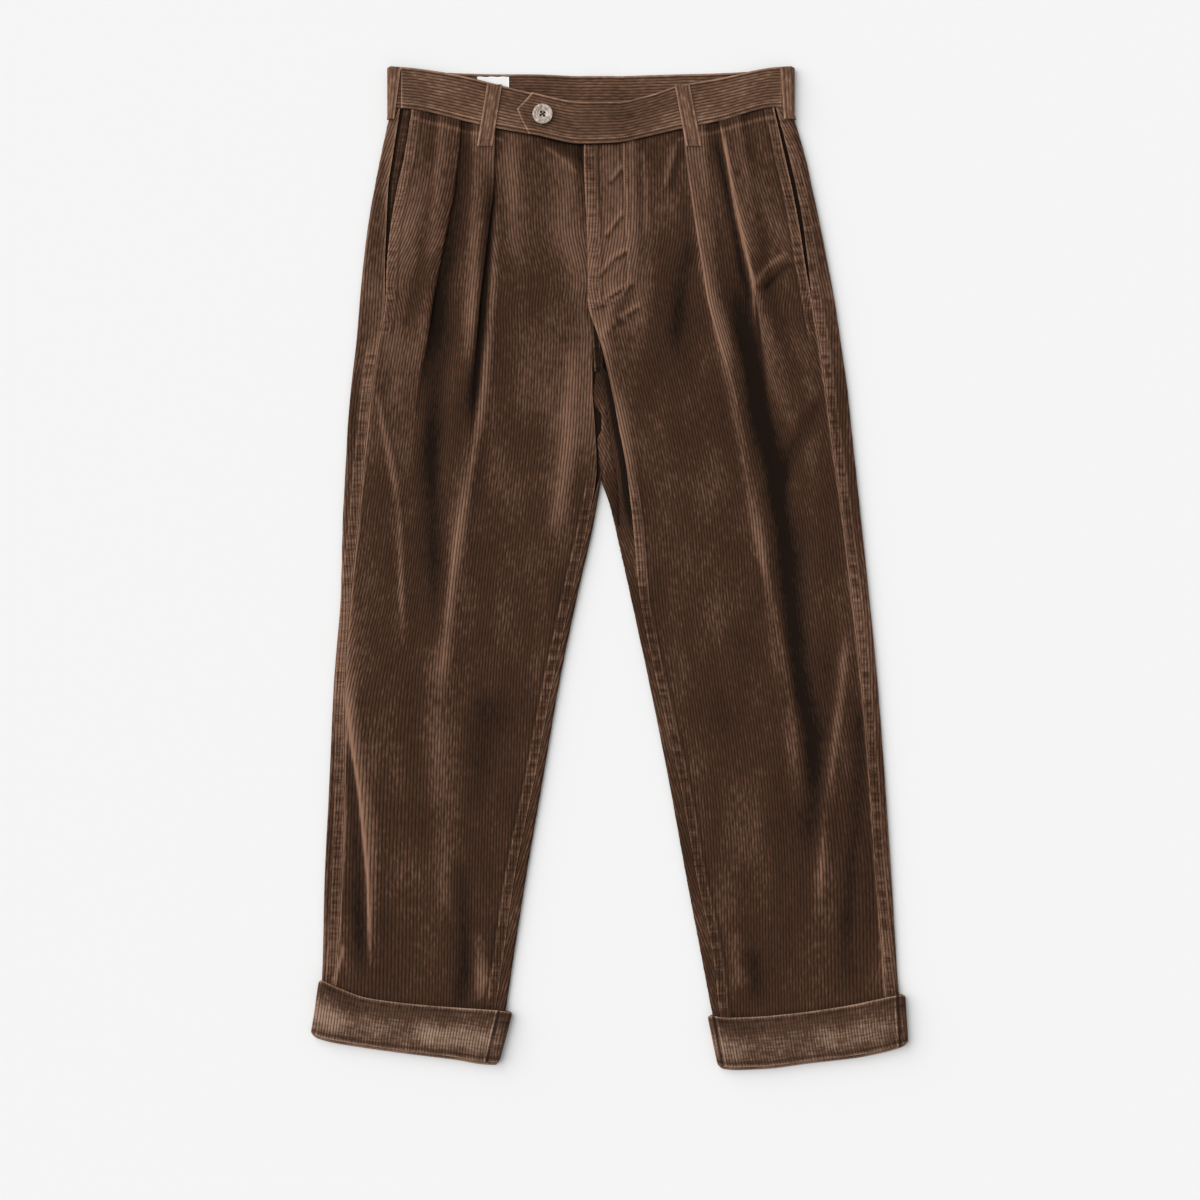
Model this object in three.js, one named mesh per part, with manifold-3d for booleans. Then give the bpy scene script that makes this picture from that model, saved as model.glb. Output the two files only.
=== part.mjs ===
// Corduroy trousers laid flat, front up, with four forward pleats and turned-up hems.
// Millimetres. The floor is z = 0, the waist points to +Y, and the wearer's left is at +X.
import * as THREE from 'three';
import { mergeVertices } from 'three/addons/utils/BufferGeometryUtils.js';
import Module from 'manifold-3d';

// Driving sizes
const CLOTH = 1.4; // corduroy wall
const BAND = 2.8; // waistband wall, cloth folded over a facing
const LABEL = 0.6; // woven label
const GAP = 0.3; // clearance between two pieces
const PLY = CLOTH + 0.35; // from one layer of a fold to the next
const REST = 3.4; // height of the upper layer's middle above the floor
const LOOP_WIDTH = 16;
const BUTTON_RADIUS = 10.4;
const TURNUP = 2; // turn-up wall, cloth with its hem turned in
const TURNUP_LIFT = TURNUP + GAP; // how far a hem rides up on its own turn-up
const BAND_REST = 5.4; // height of the front waistband's middle above the floor
const LOOP_LIFT = CLOTH + GAP; // how far the back waistband rides up on its belt loop
const LOOP_BACK_X = -10;

const CORDUROY_BROWN = 0x4b372a;
const WORN_BROWN = 0x684f41;

// Turns rows of numbers into records with named columns
function table(names, rows) {
  return rows.map((row) => Object.fromEntries(names.map((name, i) => [name, row[i]])));
}

const LEG_COLUMNS = ['y', 'edge', 'strip', 'front', 'outerPleat', 'innerPleat', 'closing', 'inside'];

// Stations down each leg, all values x: the leg's outer edge, where the back panel's wrap ends,
// where the front panel starts, the two pleats' folds, the front panel's inner end and the
// leg's inner edge (the seat seam above the crotch)
const RIGHT_LEG = table(LEG_COLUMNS, [
  [484, -229, -219, -207, -154, -118, -20, -8.5],
  [433, -240, -227, -215, -158, -120, -19, -8.5],
  [397, -247, -232, -223, -162, -121, -18, -8.5],
  [355, -254, -234, -230, -170, -126, -16, -8.5],
  [313, -259, -236, -234, -178, -131, -15, -8.5],
  [281, -262, -239, -235, -184, -135, -15, -8.5],
  [234, -266, -244, -243, -191, -139, -18, -8.5],
  [192, -271, -249, -249, -199, -142, -18, -8.5],
  [145, -275, -254, -254, -205, -145, -15, -8.5],
  [107, -277, -258, -258, -212, -149, -13.5, -8.5],
  [50, -280, -263, -263, -218, -156, -22, -16],
  [-26, -282, -271, -271, -224, -165, -39, -33],
  [-118, -289, -277, -277, -233, -174, -59, -52],
  [-223, -294, -278, -278, -236, -178, -79, -70],
  [-328, -299, -281, -281, -237, -181, -100, -88],
  [-412, -301, -286, -286, -238, -182, -112, -101],
  [-465, -303, -290, -290, -239, -183, -120, -109],
  [-519, -305, -294, -294, -240, -183, -130, -120],
]);

const LEFT_LEG = table(LEG_COLUMNS, [
  [484, 190, 181, 170, 111, 75, -27, -8],
  [433, 205, 189, 183, 121, 79, -27, -8],
  [397, 213, 197, 191, 128, 84, -26, -8],
  [355, 222, 206, 199, 137, 90, -24, -8],
  [313, 230, 212, 206, 146, 97, -23, -8],
  [281, 236, 216, 212, 153, 102, -23, -8],
  [234, 243, 221, 220, 160, 115, -9, -8],
  [192, 249, 226, 226, 166, 127, 1, -8],
  [145, 254, 232, 232, 174, 138, 10, -8],
  [107, 258, 237, 237, 180, 146, 17, -7],
  [50, 264, 245, 245, 190, 156, 24, 4],
  [-26, 272, 254, 254, 201, 162, 31, 21],
  [-118, 281, 264, 264, 213, 175, 49, 41],
  [-223, 289, 273, 273, 222, 190, 73, 62],
  [-328, 296, 280, 280, 226, 197, 92, 81],
  [-412, 301, 287, 287, 228, 198, 109, 97],
  [-465, 304, 291, 291, 229, 199, 115, 107],
  [-519, 304, 293, 293, 230, 200, 125, 118],
]);

// How a pleat opens out on its way down: turn is the angle of its fold (180 lies flat on
// itself), radius the bend's, depth the length that is folded under, ramp the rise beside it
const PLEAT = table(['y', 'turn', 'radius', 'depth', 'ramp'], [
  [484, 180, PLY / 2, 17, 9],
  [433, 180, PLY / 2, 15, 10],
  [355, 180, PLY / 2, 9, 14],
  [292, 180, PLY / 2, 0.5, 18],
  [240, 105, 1.9, 0.5, 24],
  [192, 70, 3.4, 0.5, 28],
  [107, 40, 7, 0.5, 30],
  [0, 22, 10, 1, 30],
  [-150, 9, 12, 1, 30],
  [-519, 3, 12, 1, 30],
]);

// How the inner edge of a back panel curls round to the front: curl in degrees, and step, how
// far that strip lies below the front panel beside it
const CURL_COLUMNS = ['y', 'rightCurl', 'rightStep', 'leftCurl', 'leftStep', 'leftLap'];
const CURL = table(CURL_COLUMNS, [
  [484, 0, 0, 0, 3.2, 0],
  [234, 0, 0, 0, 3.2, 0],
  [192, 0, 0, 178, 3.2, 2],
  [145, 0, 0, 180, 3.2, 4],
  [107, 90, 0, 180, 3, 4],
  [50, 180, 0, 180, 2.4, 3],
  [-26, 180, 0, 180, 1.9, -GAP],
  [-90, 180, 0, 180, 0, -GAP],
  [-519, 180, 0, 180, 0, -GAP],
]);

// The waist: the front band's two edges and the back band's two edges at each x
const WAIST = table(['x', 'top', 'seam', 'backTop', 'backSeam'], [
  [-233, 526, 483, 525, 483],
  [-207, 524, 481, 522, 481],
  [-178, 520, 475, 520, 479],
  [-155, 516, 469, 519, 477],
  [-115, 506, 460, 518, 475],
  [-81, 498, 454, 518, 475],
  [-27, 488, 444, 516, 473],
  [6, 488, 445, 516, 473],
  [39, 495, 452, 517, 474],
  [74, 506, 460, 518, 475],
  [113, 513, 468, 519, 477],
  [176, 525, 483, 523, 481],
  [196, 526, 483, 525, 483],
]);

// The turn-ups from one end to the other: share along, upper edge and lower edge
const TURNUP_COLUMNS = ['share', 'topX', 'topY', 'lowX', 'lowY'];
const RIGHT_TURNUP = table(TURNUP_COLUMNS, [
  [0, -305, -430, -313, -488],
  [0.1, -285, -439, -292, -494],
  [0.25, -255, -450, -262, -499],
  [0.5, -203, -457, -212, -506],
  [0.75, -152, -461, -163, -512],
  [0.9, -121, -463, -133, -517],
  [1, -102, -465, -115, -518],
]);
const LEFT_TURNUP = table(TURNUP_COLUMNS, [
  [0, 103, -468, 113, -521],
  [0.1, 124, -471, 132, -523],
  [0.25, 154, -470, 161, -522],
  [0.5, 206, -465, 210, -516],
  [0.75, 257, -457, 260, -510],
  [0.9, 289, -450, 290, -504],
  [1, 310, -446, 313, -497],
]);

// Soft ridges (or troughs, if height is negative) in the laid cloth, from one point to another
const RIDGES = table(['fromX', 'fromY', 'toX', 'toY', 'height', 'width'], [
  [-133, 240, -172, -120, 1.9, 11],
  [-247, 190, -222, -80, 2.1, 15],
  [-277, -140, -248, -440, 1.8, 11],
  [-60, 250, -70, -20, 1.7, 30],
  [-150, -140, -180, -430, 1.2, 24],
  [-190, 130, -200, -60, -1.0, 15],
  [102, 285, 158, 20, 1.8, 11],
  [170, -60, 206, -250, 1.9, 11],
  [249, -80, 220, -350, 2.0, 12],
  [55, 280, 90, -60, 1.4, 32],
  [128, -240, 132, -450, 1.3, 20],
  [-8, 235, 14, 110, 3.1, 12],
  [14, 130, 30, -10, 2.2, 12],
  [178, 140, 196, -20, -1.0, 13],
]);

// How the laid cloth puffs up: height of each swell and how far it reaches
const EDGE_PUFF = { height: 1.3, reach: 10 }; // along the outer fold
const INSIDE_PUFF = { height: 1.3, reach: 9, below: 107, grows: 40 }; // along the inner fold
const POCKET_PUFF = { height: 1.6, reach: 16, above: 240, grows: 60 }; // at the pocket mouth
const PRESSED = { share: 0.8, below: 34 }; // how far the waist seam presses the folds flat

// Height of the fly: the left front rides over the facing, inside this outline
const FLY = table(['y', 'from', 'to'], [
  [447, -24.5, 17],
  [380, -23.5, 18],
  [320, -21.5, 18.5],
  [297, -21, 14],
  [283, -20.5, 6],
  [272, -20, -4],
  [250, -18.5, -9.5],
  [206, -16, -11],
]);
const FLY_RISE = 3.2;
const FLY_FALL = { past: 4.5, length: 13, above: 180, grows: 30 }; // where that rise runs out
const COVERED = { from: -42, length: 14, above: 190, grows: 30 }; // right front, under the left

// Heights over the floor down the leg that all pieces share as their rows
const ROWS = [484, 458, 426, 390, 355, 325, 297, 265, 234, 205, 175, 145, 107, 72, 28, -26, -90,
  -176, -275, -375, -440, -450, -485, -519];
const FIRST_LEVEL_ROW = 297; // rows above this one follow the waist's curve
const LAST_LEVEL_ROW = -375; // rows below this one follow the turn-up's two edges
const RISE_ROW = -440; // here the leg starts to rise on to its turn-up
const TURNUP_ROW = -450; // here it has reached the turn-up's upper edge
const HEM_RISE = 14; // length of that rise
const HEM_START = HEM_RISE + 1; // where it starts above the turn-up's upper edge
const HEM_INSET = 3; // how far a leg ends above its turn-up's fold

function clamp(value, low, high) {
  return Math.min(high, Math.max(low, value));
}

function mix(a, b, share) {
  return a + (b - a) * share;
}

function smooth(share) {
  const t = clamp(share, 0, 1);
  return t * t * (3 - 2 * t);
}

// A smooth curve through one column of a table, read at any value of its key column
function curve(rows, key, name) {
  const sorted = [...rows].sort((a, b) => a[key] - b[key]);
  const at = sorted.map((row) => row[key]);
  const value = sorted.map((row) => row[name]);
  const last = at.length - 1;
  const step = at.slice(0, last).map((t, i) => (value[i + 1] - value[i]) / (at[i + 1] - t));
  const slope = at.map((t, i) => {
    if (i === 0 || i === last || step[i - 1] * step[i] <= 0) return 0;
    return 2 * step[i - 1] * step[i] / (step[i - 1] + step[i]);
  });
  slope[0] = step[0];
  slope[last] = step[last - 1];
  return (t) => {
    const x = clamp(t, at[0], at[last]);
    let i = 0;
    while (i < last - 1 && x > at[i + 1]) i += 1;
    const span = at[i + 1] - at[i];
    const u = (x - at[i]) / span;
    const rise = value[i + 1] - value[i];
    const a = slope[i] * span;
    const b = slope[i + 1] * span;
    return value[i] + u * (a + u * (3 * rise - 2 * a - b + u * (a + b - 2 * rise)));
  };
}

function curves(rows, key, names) {
  return Object.fromEntries(names.map((name) => [name, curve(rows, key, name)]));
}

const waist = curves(WAIST, 'x', ['top', 'seam', 'backTop', 'backSeam']);
const pleat = curves(PLEAT, 'y', ['turn', 'radius', 'depth', 'ramp']);
const curl = curves(CURL, 'y', CURL_COLUMNS.slice(1));
const fly = curves(FLY, 'y', ['from', 'to']);

function turnup(rows) {
  const flat = (edge) => rows.map((row) => ({ x: row[`${edge}X`], y: row[`${edge}Y`] }));
  return {
    ...curves(rows, 'share', TURNUP_COLUMNS.slice(1)),
    upperEdge: curve(flat('top'), 'x', 'y'),
    lowerEdge: curve(flat('low'), 'x', 'y'),
  };
}

const legs = {
  right: {
    inward: 1,
    ...curves(RIGHT_LEG, 'y', LEG_COLUMNS.slice(1)),
    curl: curl.rightCurl,
    step: curl.rightStep,
    lap: () => -GAP,
    turnup: turnup(RIGHT_TURNUP),
  },
  left: {
    inward: -1,
    ...curves(LEFT_LEG, 'y', LEG_COLUMNS.slice(1)),
    curl: curl.leftCurl,
    step: curl.leftStep,
    lap: curl.leftLap,
    turnup: turnup(LEFT_TURNUP),
  },
};

function ridges(x, y) {
  return RIDGES.reduce((sum, row) => {
    const share = (row.fromY - y) / (row.fromY - row.toY);
    const fade = smooth(share / 0.25 + 0.6) * smooth((1 - share) / 0.25 + 0.6);
    const off = (x - mix(row.fromX, row.toX, share)) / row.width;
    return sum + row.height * fade * Math.exp(-off * off);
  }, 0);
}

// How far the left front is lifted by the fly facing under it
function flyLift(x, y) {
  const past = x - fly.to(y) - FLY_FALL.past;
  const grown = smooth((y - FLY_FALL.above) / FLY_FALL.grows);
  return FLY_RISE * smooth(1 - past / FLY_FALL.length) * grown;
}

// How far a leg is lifted by its own turn-up under it
function hemLift(leg, x, y) {
  return TURNUP_LIFT * smooth((leg.turnup.upperEdge(x) + HEM_START - y) / HEM_RISE);
}

// Middle of the upper layer of cloth
function upperHeight(leg, x, y) {
  const fromEdge = Math.abs(x - leg.edge(y));
  const fromInside = Math.abs(x - leg.inside(y));
  const fromMouth = (x - leg.front(y)) / POCKET_PUFF.reach;
  const belowCrotch = smooth((INSIDE_PUFF.below - y) / INSIDE_PUFF.grows);
  const atPocket = smooth((y - POCKET_PUFF.above) / POCKET_PUFF.grows);
  const atWaist = smooth((y - waist.seam(x) + PRESSED.below) / PRESSED.below);
  const edge = EDGE_PUFF.height * Math.exp(-fromEdge / EDGE_PUFF.reach);
  const inside = INSIDE_PUFF.height * belowCrotch * Math.exp(-fromInside / INSIDE_PUFF.reach);
  const pocket = POCKET_PUFF.height * atPocket * Math.exp(-(fromMouth ** 2));
  const folds = ridges(x, y) * (1 - PRESSED.share * atWaist);
  return REST + edge + inside + pocket + folds + hemLift(leg, x, y);
}

// The two fronts near the fly: the right one lies low, the left one rides over it
function frontHeight(leg, x, y) {
  const height = upperHeight(leg, x, y);
  if (leg.inward < 0) return height + flyLift(x, y);
  const across = smooth((x - COVERED.from) / COVERED.length);
  const covered = across * smooth((y - COVERED.above) / COVERED.grows);
  return mix(height, CLOTH * 1.5 + GAP, covered);
}

// A row's y in a column that stands at x: upper rows follow the waist, lower ones the turn-up
function rowHeight(row, x, seam, turnup) {
  const y = ROWS[row];
  const bottom = ROWS[ROWS.length - 1];
  const edge = turnup.upperEdge(x);
  const up = (y - FIRST_LEVEL_ROW) / (ROWS[0] - FIRST_LEVEL_ROW);
  if (up > 0) return mix(FIRST_LEVEL_ROW, seam - GAP, up);
  const end = turnup.lowerEdge(x) + HEM_INSET;
  if (y < TURNUP_ROW) return mix(edge, end, (TURNUP_ROW - y) / (TURNUP_ROW - bottom));
  if (y < RISE_ROW) return edge;
  const down = (LAST_LEVEL_ROW - y) / (LAST_LEVEL_ROW - RISE_ROW);
  return down > 0 ? mix(LAST_LEVEL_ROW, edge + HEM_START, down) : y;
}

// Cross-section of a front panel, from the outseam to the centre: x and z of the cloth's middle
function frontSection(leg, y) {
  const outer = leg.front(y);
  const width = (leg.closing(y) - outer) * leg.inward;
  const turn = THREE.MathUtils.degToRad(pleat.turn(y));
  const radius = pleat.radius(y);
  const depth = pleat.depth(y);
  const drop = 2 * radius * (1 - Math.cos(turn)) + depth * Math.sin(turn);
  const tip = (radius + CLOTH / 2) * Math.sin(Math.min(turn, Math.PI / 2));
  const bends = 4;
  const path = [];
  let from = 0;
  for (const fold of [leg.outerPleat(y), leg.innerPleat(y)]) {
    const start = (fold - outer) * leg.inward - tip;
    const end = start + 2 * radius * Math.sin(turn) + depth * Math.cos(turn);
    const high = Math.min(start, end) - radius - 1;
    const low = Math.max(from + 2, high - pleat.ramp(y));
    const run = [from, (from + low) / 2, low, mix(low, high, 0.33), mix(low, high, 0.67), high];
    if (from > 0) run.shift();
    run.forEach((w) => path.push([w, drop * smooth((w - low) / (high - low))]));
    for (let i = 0; i <= bends; i += 1) {
      const angle = (turn * i) / bends;
      path.push([start + radius * Math.sin(angle), drop - radius * (1 - Math.cos(angle))]);
    }
    for (let i = bends; i >= 0; i -= 1) {
      const angle = (turn * i) / bends;
      path.push([end - radius * Math.sin(angle), radius * (1 - Math.cos(angle))]);
    }
    from = end;
  }
  const steps = 9;
  for (let i = 1; i <= steps; i += 1) path.push([mix(from, width, i / steps), 0]);
  return path.map(([w, h]) => {
    const x = outer + leg.inward * w;
    return [x, h + frontHeight(leg, x, y)];
  });
}

// Cross-section of a back panel: from its end on the front, round the outer edge, across the
// floor, and then along the seat seam or round the leg's inner edge
function backSection(leg, y) {
  const s = leg.inward;
  const edge = leg.edge(y);
  const inside = leg.inside(y);
  const under = (x) => CLOTH / 2 + hemLift(leg, x, y);
  const floor = under(edge);
  const top = (x) => upperHeight(leg, x, y);
  const outerRadius = (top(edge + s * 2.5) - floor) / 2;
  const outerCentre = edge + s * (CLOTH / 2 + outerRadius);
  const end = s * Math.min(s * leg.strip(y), s * leg.front(y) - GAP);
  const path = [];
  for (let i = 0; i < 3; i += 1) {
    const x = mix(end, outerCentre, i / 3);
    path.push([x, top(x)]);
  }
  for (let i = 0; i <= 4; i += 1) {
    const angle = (Math.PI * i) / 4;
    const x = outerCentre - s * outerRadius * Math.sin(angle);
    path.push([x, floor + outerRadius * (1 + Math.cos(angle))]);
  }
  const turn = THREE.MathUtils.degToRad(leg.curl(y));
  const stripTop = top(inside - s * 2.5) - leg.step(y);
  const insideFloor = under(inside);
  const radius = Math.max(0.9, (stripTop - insideFloor) / 2);
  const bend = Math.PI * radius;
  const reach = (inside - leg.closing(y)) * s + leg.lap(y) - CLOTH / 2 - radius;
  const strip = turn > 2 ? Math.max(0.8, reach) : 0.8;
  const bent = turn > 0.01 ? bend / turn : 0;
  const tailReach = turn > Math.PI / 2 ? bent + CLOTH / 2 : bend + strip;
  const tailStart = inside - s * (turn > 1 ? tailReach : bend + strip + CLOTH * 0.1);
  const floorSteps = 5;
  for (let i = 1; i <= floorSteps; i += 1) {
    const across = mix(outerCentre, tailStart, i / floorSteps);
    path.push([across, under(across)]);
  }
  let x = tailStart;
  let z = insideFloor;
  const lengths = [bend / 4, bend / 4, bend / 4, bend / 4, strip / 3, strip / 3, strip / 3];
  lengths.forEach((length, i) => {
    const angle = turn * Math.min(1, (i + 0.5) / 4);
    const straight = i < 4 ? 1 : 0;
    const chord = straight && turn > 0.01 ? (Math.sin(turn / 8) / (turn / 8)) * length : length;
    x += s * chord * Math.cos(angle);
    z += chord * Math.sin(angle);
    path.push([x, turn > 3 && i > 3 ? top(x) - leg.step(y) : z]);
  });
  return path;
}

// Unit normals of a section, turned to the left of its direction
function sectionNormals(path) {
  return path.map((point, i) => {
    const before = path[Math.max(0, i - 1)];
    const after = path[Math.min(path.length - 1, i + 1)];
    const unit = (a, b) => {
      const length = Math.hypot(b[0] - a[0], b[1] - a[1]);
      return [(b[0] - a[0]) / length, (b[1] - a[1]) / length];
    };
    const first = i > 0 ? unit(before, point) : unit(point, after);
    const second = i < path.length - 1 ? unit(point, after) : first;
    const sum = [first[0] + second[0], first[1] + second[1]];
    const length = Math.hypot(sum[0], sum[1]);
    return [-sum[1] / length, sum[0] / length];
  });
}

// A closed wall from a grid of middle points and normals: rows of [x, y, z, nx, ny, nz]
function wall(grid, thickness) {
  const rows = grid.length;
  const columns = grid[0].length;
  const position = [];
  for (const side of [0.5, -0.5]) {
    for (const row of grid) {
      for (const [x, y, z, nx, ny, nz] of row) {
        const d = side * thickness;
        position.push(x + nx * d, y + ny * d, z + nz * d);
      }
    }
  }
  const index = [];
  const quad = (a, b, c, d) => index.push(a, b, c, a, c, d);
  const at = (side, row, column) => (side * rows + row) * columns + column;
  for (let r = 0; r < rows - 1; r += 1) {
    for (let c = 0; c < columns - 1; c += 1) {
      quad(at(0, r, c), at(0, r + 1, c), at(0, r + 1, c + 1), at(0, r, c + 1));
      quad(at(1, r, c), at(1, r, c + 1), at(1, r + 1, c + 1), at(1, r + 1, c));
    }
    quad(at(0, r, 0), at(1, r, 0), at(1, r + 1, 0), at(0, r + 1, 0));
    const e = columns - 1;
    quad(at(0, r, e), at(0, r + 1, e), at(1, r + 1, e), at(1, r, e));
  }
  for (let c = 0; c < columns - 1; c += 1) {
    quad(at(0, 0, c), at(0, 0, c + 1), at(1, 0, c + 1), at(1, 0, c));
    const e = rows - 1;
    quad(at(0, e, c), at(1, e, c), at(1, e, c + 1), at(0, e, c + 1));
  }
  return closed(position, index);
}

// A closed geometry whose faces point outwards
function closed(position, index) {
  let volume = 0;
  const p = (i) => new THREE.Vector3().fromArray(position, i * 3);
  for (let i = 0; i < index.length; i += 3) {
    volume += p(index[i]).dot(p(index[i + 1]).cross(p(index[i + 2])));
  }
  const faces = volume < 0 ? [...index].reverse() : index;
  const geometry = new THREE.BufferGeometry();
  geometry.setAttribute('position', new THREE.Float32BufferAttribute(position, 3));
  geometry.setIndex(faces);
  return geometry;
}

// A wall through cross-sections, one for each row of the leg
function sectionWall(section, seam, turnup) {
  const columns = section(ROWS[0]).length;
  const grid = ROWS.map((start, row) => {
    const points = [];
    for (let c = 0; c < columns; c += 1) {
      let y = start;
      let path = section(y);
      for (let pass = 0; pass < 3; pass += 1) {
        y = rowHeight(row, path[c][0], seam(path[c][0], path[c][1]), turnup);
        path = section(y);
      }
      const normal = sectionNormals(path)[c];
      points.push([path[c][0], y, path[c][1], normal[0], 0, normal[1]]);
    }
    return points;
  });
  return wall(grid, CLOTH);
}

const group = new THREE.Group();
const corduroy = { color: CORDUROY_BROWN, roughness: 0.95, metalness: 0 };
const wornCorduroy = { color: WORN_BROWN, roughness: 0.95, metalness: 0 };

function add(name, geometry, finish = corduroy) {
  const mesh = new THREE.Mesh(geometry, new THREE.MeshStandardMaterial(finish));
  mesh.name = name;
  group.add(mesh);
}

// The lower of the two bands' seams
function lowerSeam(x) {
  return Math.min(waist.seam(x), waist.backSeam(x));
}

// Front and back leg panels
for (const [side, leg] of Object.entries(legs)) {
  const frontSeam = (x) => waist.seam(x);
  const backSeam = (x, z) => (z < REST ? waist.backSeam(x) - 1 : waist.seam(x));
  add(`front_${side}`, sectionWall((y) => frontSection(leg, y), frontSeam, leg.turnup));
  add(`back_${side}`, sectionWall((y) => backSection(leg, y), backSeam, leg.turnup));
}

// Highest point of a front panel at x and y
function frontTop(leg, x, y) {
  const path = frontSection(leg, y);
  let top = 0;
  for (let i = 1; i < path.length; i += 1) {
    const [x0, z0] = path[i - 1];
    const [x1, z1] = path[i];
    const share = (x - x0) / (x1 - x0);
    if (share >= -0.2 && share <= 1.2) top = Math.max(top, z0, z1);
  }
  return top + CLOTH / 2;
}

// A flat strip of cloth: rows of middle points, with the wall's thickness along z
function sheet(rows, thickness) {
  return wall(rows.map((row) => row.map(([x, y, z]) => [x, y, z, 0, 0, 1])), thickness);
}

function steps(count) {
  return Array.from({ length: count + 1 }, (unused, i) => i / count);
}

// Pocket facings, one layer below the panels, seen in the pocket mouths
const POCKET = { bottom: 270, under: 3, behind: 6 };
for (const [side, leg] of Object.entries(legs)) {
  const rows = steps(7).map((v) => steps(4).map((u) => {
    const yAt = (x) => mix(lowerSeam(x) - GAP * 2, POCKET.bottom, v);
    const guess = yAt(leg.front(470));
    const from = leg.strip(guess) - leg.inward * POCKET.under;
    const to = leg.front(guess) + leg.inward * POCKET.behind;
    const x = mix(from, to, u);
    const y = yAt(x);
    return [x, y, upperHeight(leg, x, y) - PLY - 0.15];
  }));
  add(`pocket_facing_${side}`, sheet(rows, CLOTH));
}

// Fly facing, with its tail down to the crotch, between the two fronts
const FACING_HEIGHT = CLOTH * 2.5 + GAP * 2;
const facingRows = FLY.map(({ y, from, to }) => (
  steps(3).map((u) => [mix(from, to, u), y, FACING_HEIGHT])
));
add('fly_facing', sheet(facingRows, CLOTH));

// Turn-ups: each a tube round the hem, its back a little longer than its front
const BACK_SHOWS = 3.5;
function turnupRing(leg) {
  const share = [0.02, 0.1, 0.2, 0.35, 0.5, 0.65, 0.8, 0.9, 0.98];
  const bottom = TURNUP / 2;
  const levels = steps(4);
  return levels.map((v) => {
    const point = (u) => [
      mix(leg.turnup.topX(u), leg.turnup.lowX(u), v),
      mix(leg.turnup.topY(u), leg.turnup.lowY(u), v),
    ];
    const height = (u) => {
      const [x, y] = point(u);
      return upperHeight(leg, x, y - 6) + (CLOTH + TURNUP) / 2 + GAP + 0.5;
    };
    const radius = (u) => (height(u) - bottom) / 2;
    const inset = (u) => {
      const [x, y] = point(u);
      const low = point(0)[0] + TURNUP / 2 + radius(0);
      const high = point(1)[0] - TURNUP / 2 - radius(1);
      return [clamp(x, low, high), y];
    };
    const front = share.map((u) => [...inset(u), height(u)]);
    const back = [...share].reverse().map((u) => {
      const [x, y] = inset(u);
      return [x, y - BACK_SHOWS * v, bottom];
    });
    const cap = (u, sign) => [1, 2, 3].map((i) => {
      const angle = (Math.PI * i) / 4;
      const [x, y] = inset(u);
      const rise = radius(u) * Math.cos(angle) * sign;
      const down = BACK_SHOWS * v * (sign > 0 ? i / 4 : 1 - i / 4);
      return [x + sign * radius(u) * Math.sin(angle), y - down, bottom + radius(u) + rise];
    });
    return [...front, ...cap(share[8], 1), ...back, ...cap(share[0], -1)];
  });
}

// A tube's wall from closed rings of middle points
function tube(rings, thickness) {
  const grid = rings.map((ring) => ring.map(([x, y, z], i) => {
    const before = ring[(i + ring.length - 1) % ring.length];
    const after = ring[(i + 1) % ring.length];
    const run = [after[0] - before[0], after[2] - before[2]];
    const length = Math.hypot(run[0], run[1]);
    return [x, y, z, -run[1] / length, 0, run[0] / length];
  }));
  const columns = grid[0].length;
  const position = [];
  for (const side of [0.5, -0.5]) {
    grid.flat().forEach(([x, y, z, nx, ny, nz]) => {
      const d = side * thickness;
      position.push(x + nx * d, y + ny * d, z + nz * d);
    });
  }
  const index = [];
  const quad = (a, b, c, d) => index.push(a, b, c, a, c, d);
  const at = (side, row, column) => (side * grid.length + row) * columns + (column % columns);
  const last = grid.length - 1;
  for (let c = 0; c < columns; c += 1) {
    for (let r = 0; r < last; r += 1) {
      quad(at(0, r, c), at(0, r + 1, c), at(0, r + 1, c + 1), at(0, r, c + 1));
      quad(at(1, r, c), at(1, r, c + 1), at(1, r + 1, c + 1), at(1, r + 1, c));
    }
    quad(at(0, 0, c), at(0, 0, c + 1), at(1, 0, c + 1), at(1, 0, c));
    quad(at(0, last, c), at(1, last, c), at(1, last, c + 1), at(0, last, c + 1));
  }
  return closed(position, index);
}

for (const [side, leg] of Object.entries(legs)) {
  add(`turnup_${side}`, tube(turnupRing(leg), TURNUP), wornCorduroy);
}

// Waistband: the two front pieces lie on the back one, whose ends wrap round both sides
const SIDE_PUFF = { height: 0.9, reach: 12 };
const LOOP_PUFF = { height: 1.5, reach: 34, grows: 24 }; // front band, over the back belt loop
const OVER_LOOP = { reach: 24, grows: 14 }; // back band, over the same loop
const TAB_RISE = { from: 38, length: 36 }; // where the left band climbs on to the right one
const BAND_SIDE = { right: -231.5, left: 192.5 };
const BAND_JOIN = { right: -219, left: 181 };
const RIGHT_END = -22;
const TAB = table(['share', 'end'], [
  [0, -81],
  [0.25, -89],
  [0.47, -97],
  [0.75, -91],
  [1, -84.5],
]);

function overBackLoop(x, { reach, grows }) {
  return smooth((reach - Math.abs(x - LOOP_BACK_X)) / grows);
}

function bandHeight(x) {
  const fromSide = Math.min(x - BAND_SIDE.right, BAND_SIDE.left - x);
  const side = SIDE_PUFF.height * Math.exp(-fromSide / SIDE_PUFF.reach);
  return BAND_REST + side + LOOP_PUFF.height * overBackLoop(x, LOOP_PUFF);
}

function tabLift(x) {
  return (BAND + GAP * 2) * smooth((TAB_RISE.from - x) / TAB_RISE.length);
}

function bandPoint(x, share, lift) {
  return [x, mix(waist.top(x), waist.seam(x), share), bandHeight(x) + lift];
}

const bandRight = TAB.map(({ share }) => steps(14).map((u) => (
  bandPoint(mix(BAND_JOIN.right + GAP, RIGHT_END, u), share, 0)
)));
add('waistband_right', sheet(bandRight, BAND), wornCorduroy);

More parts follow.
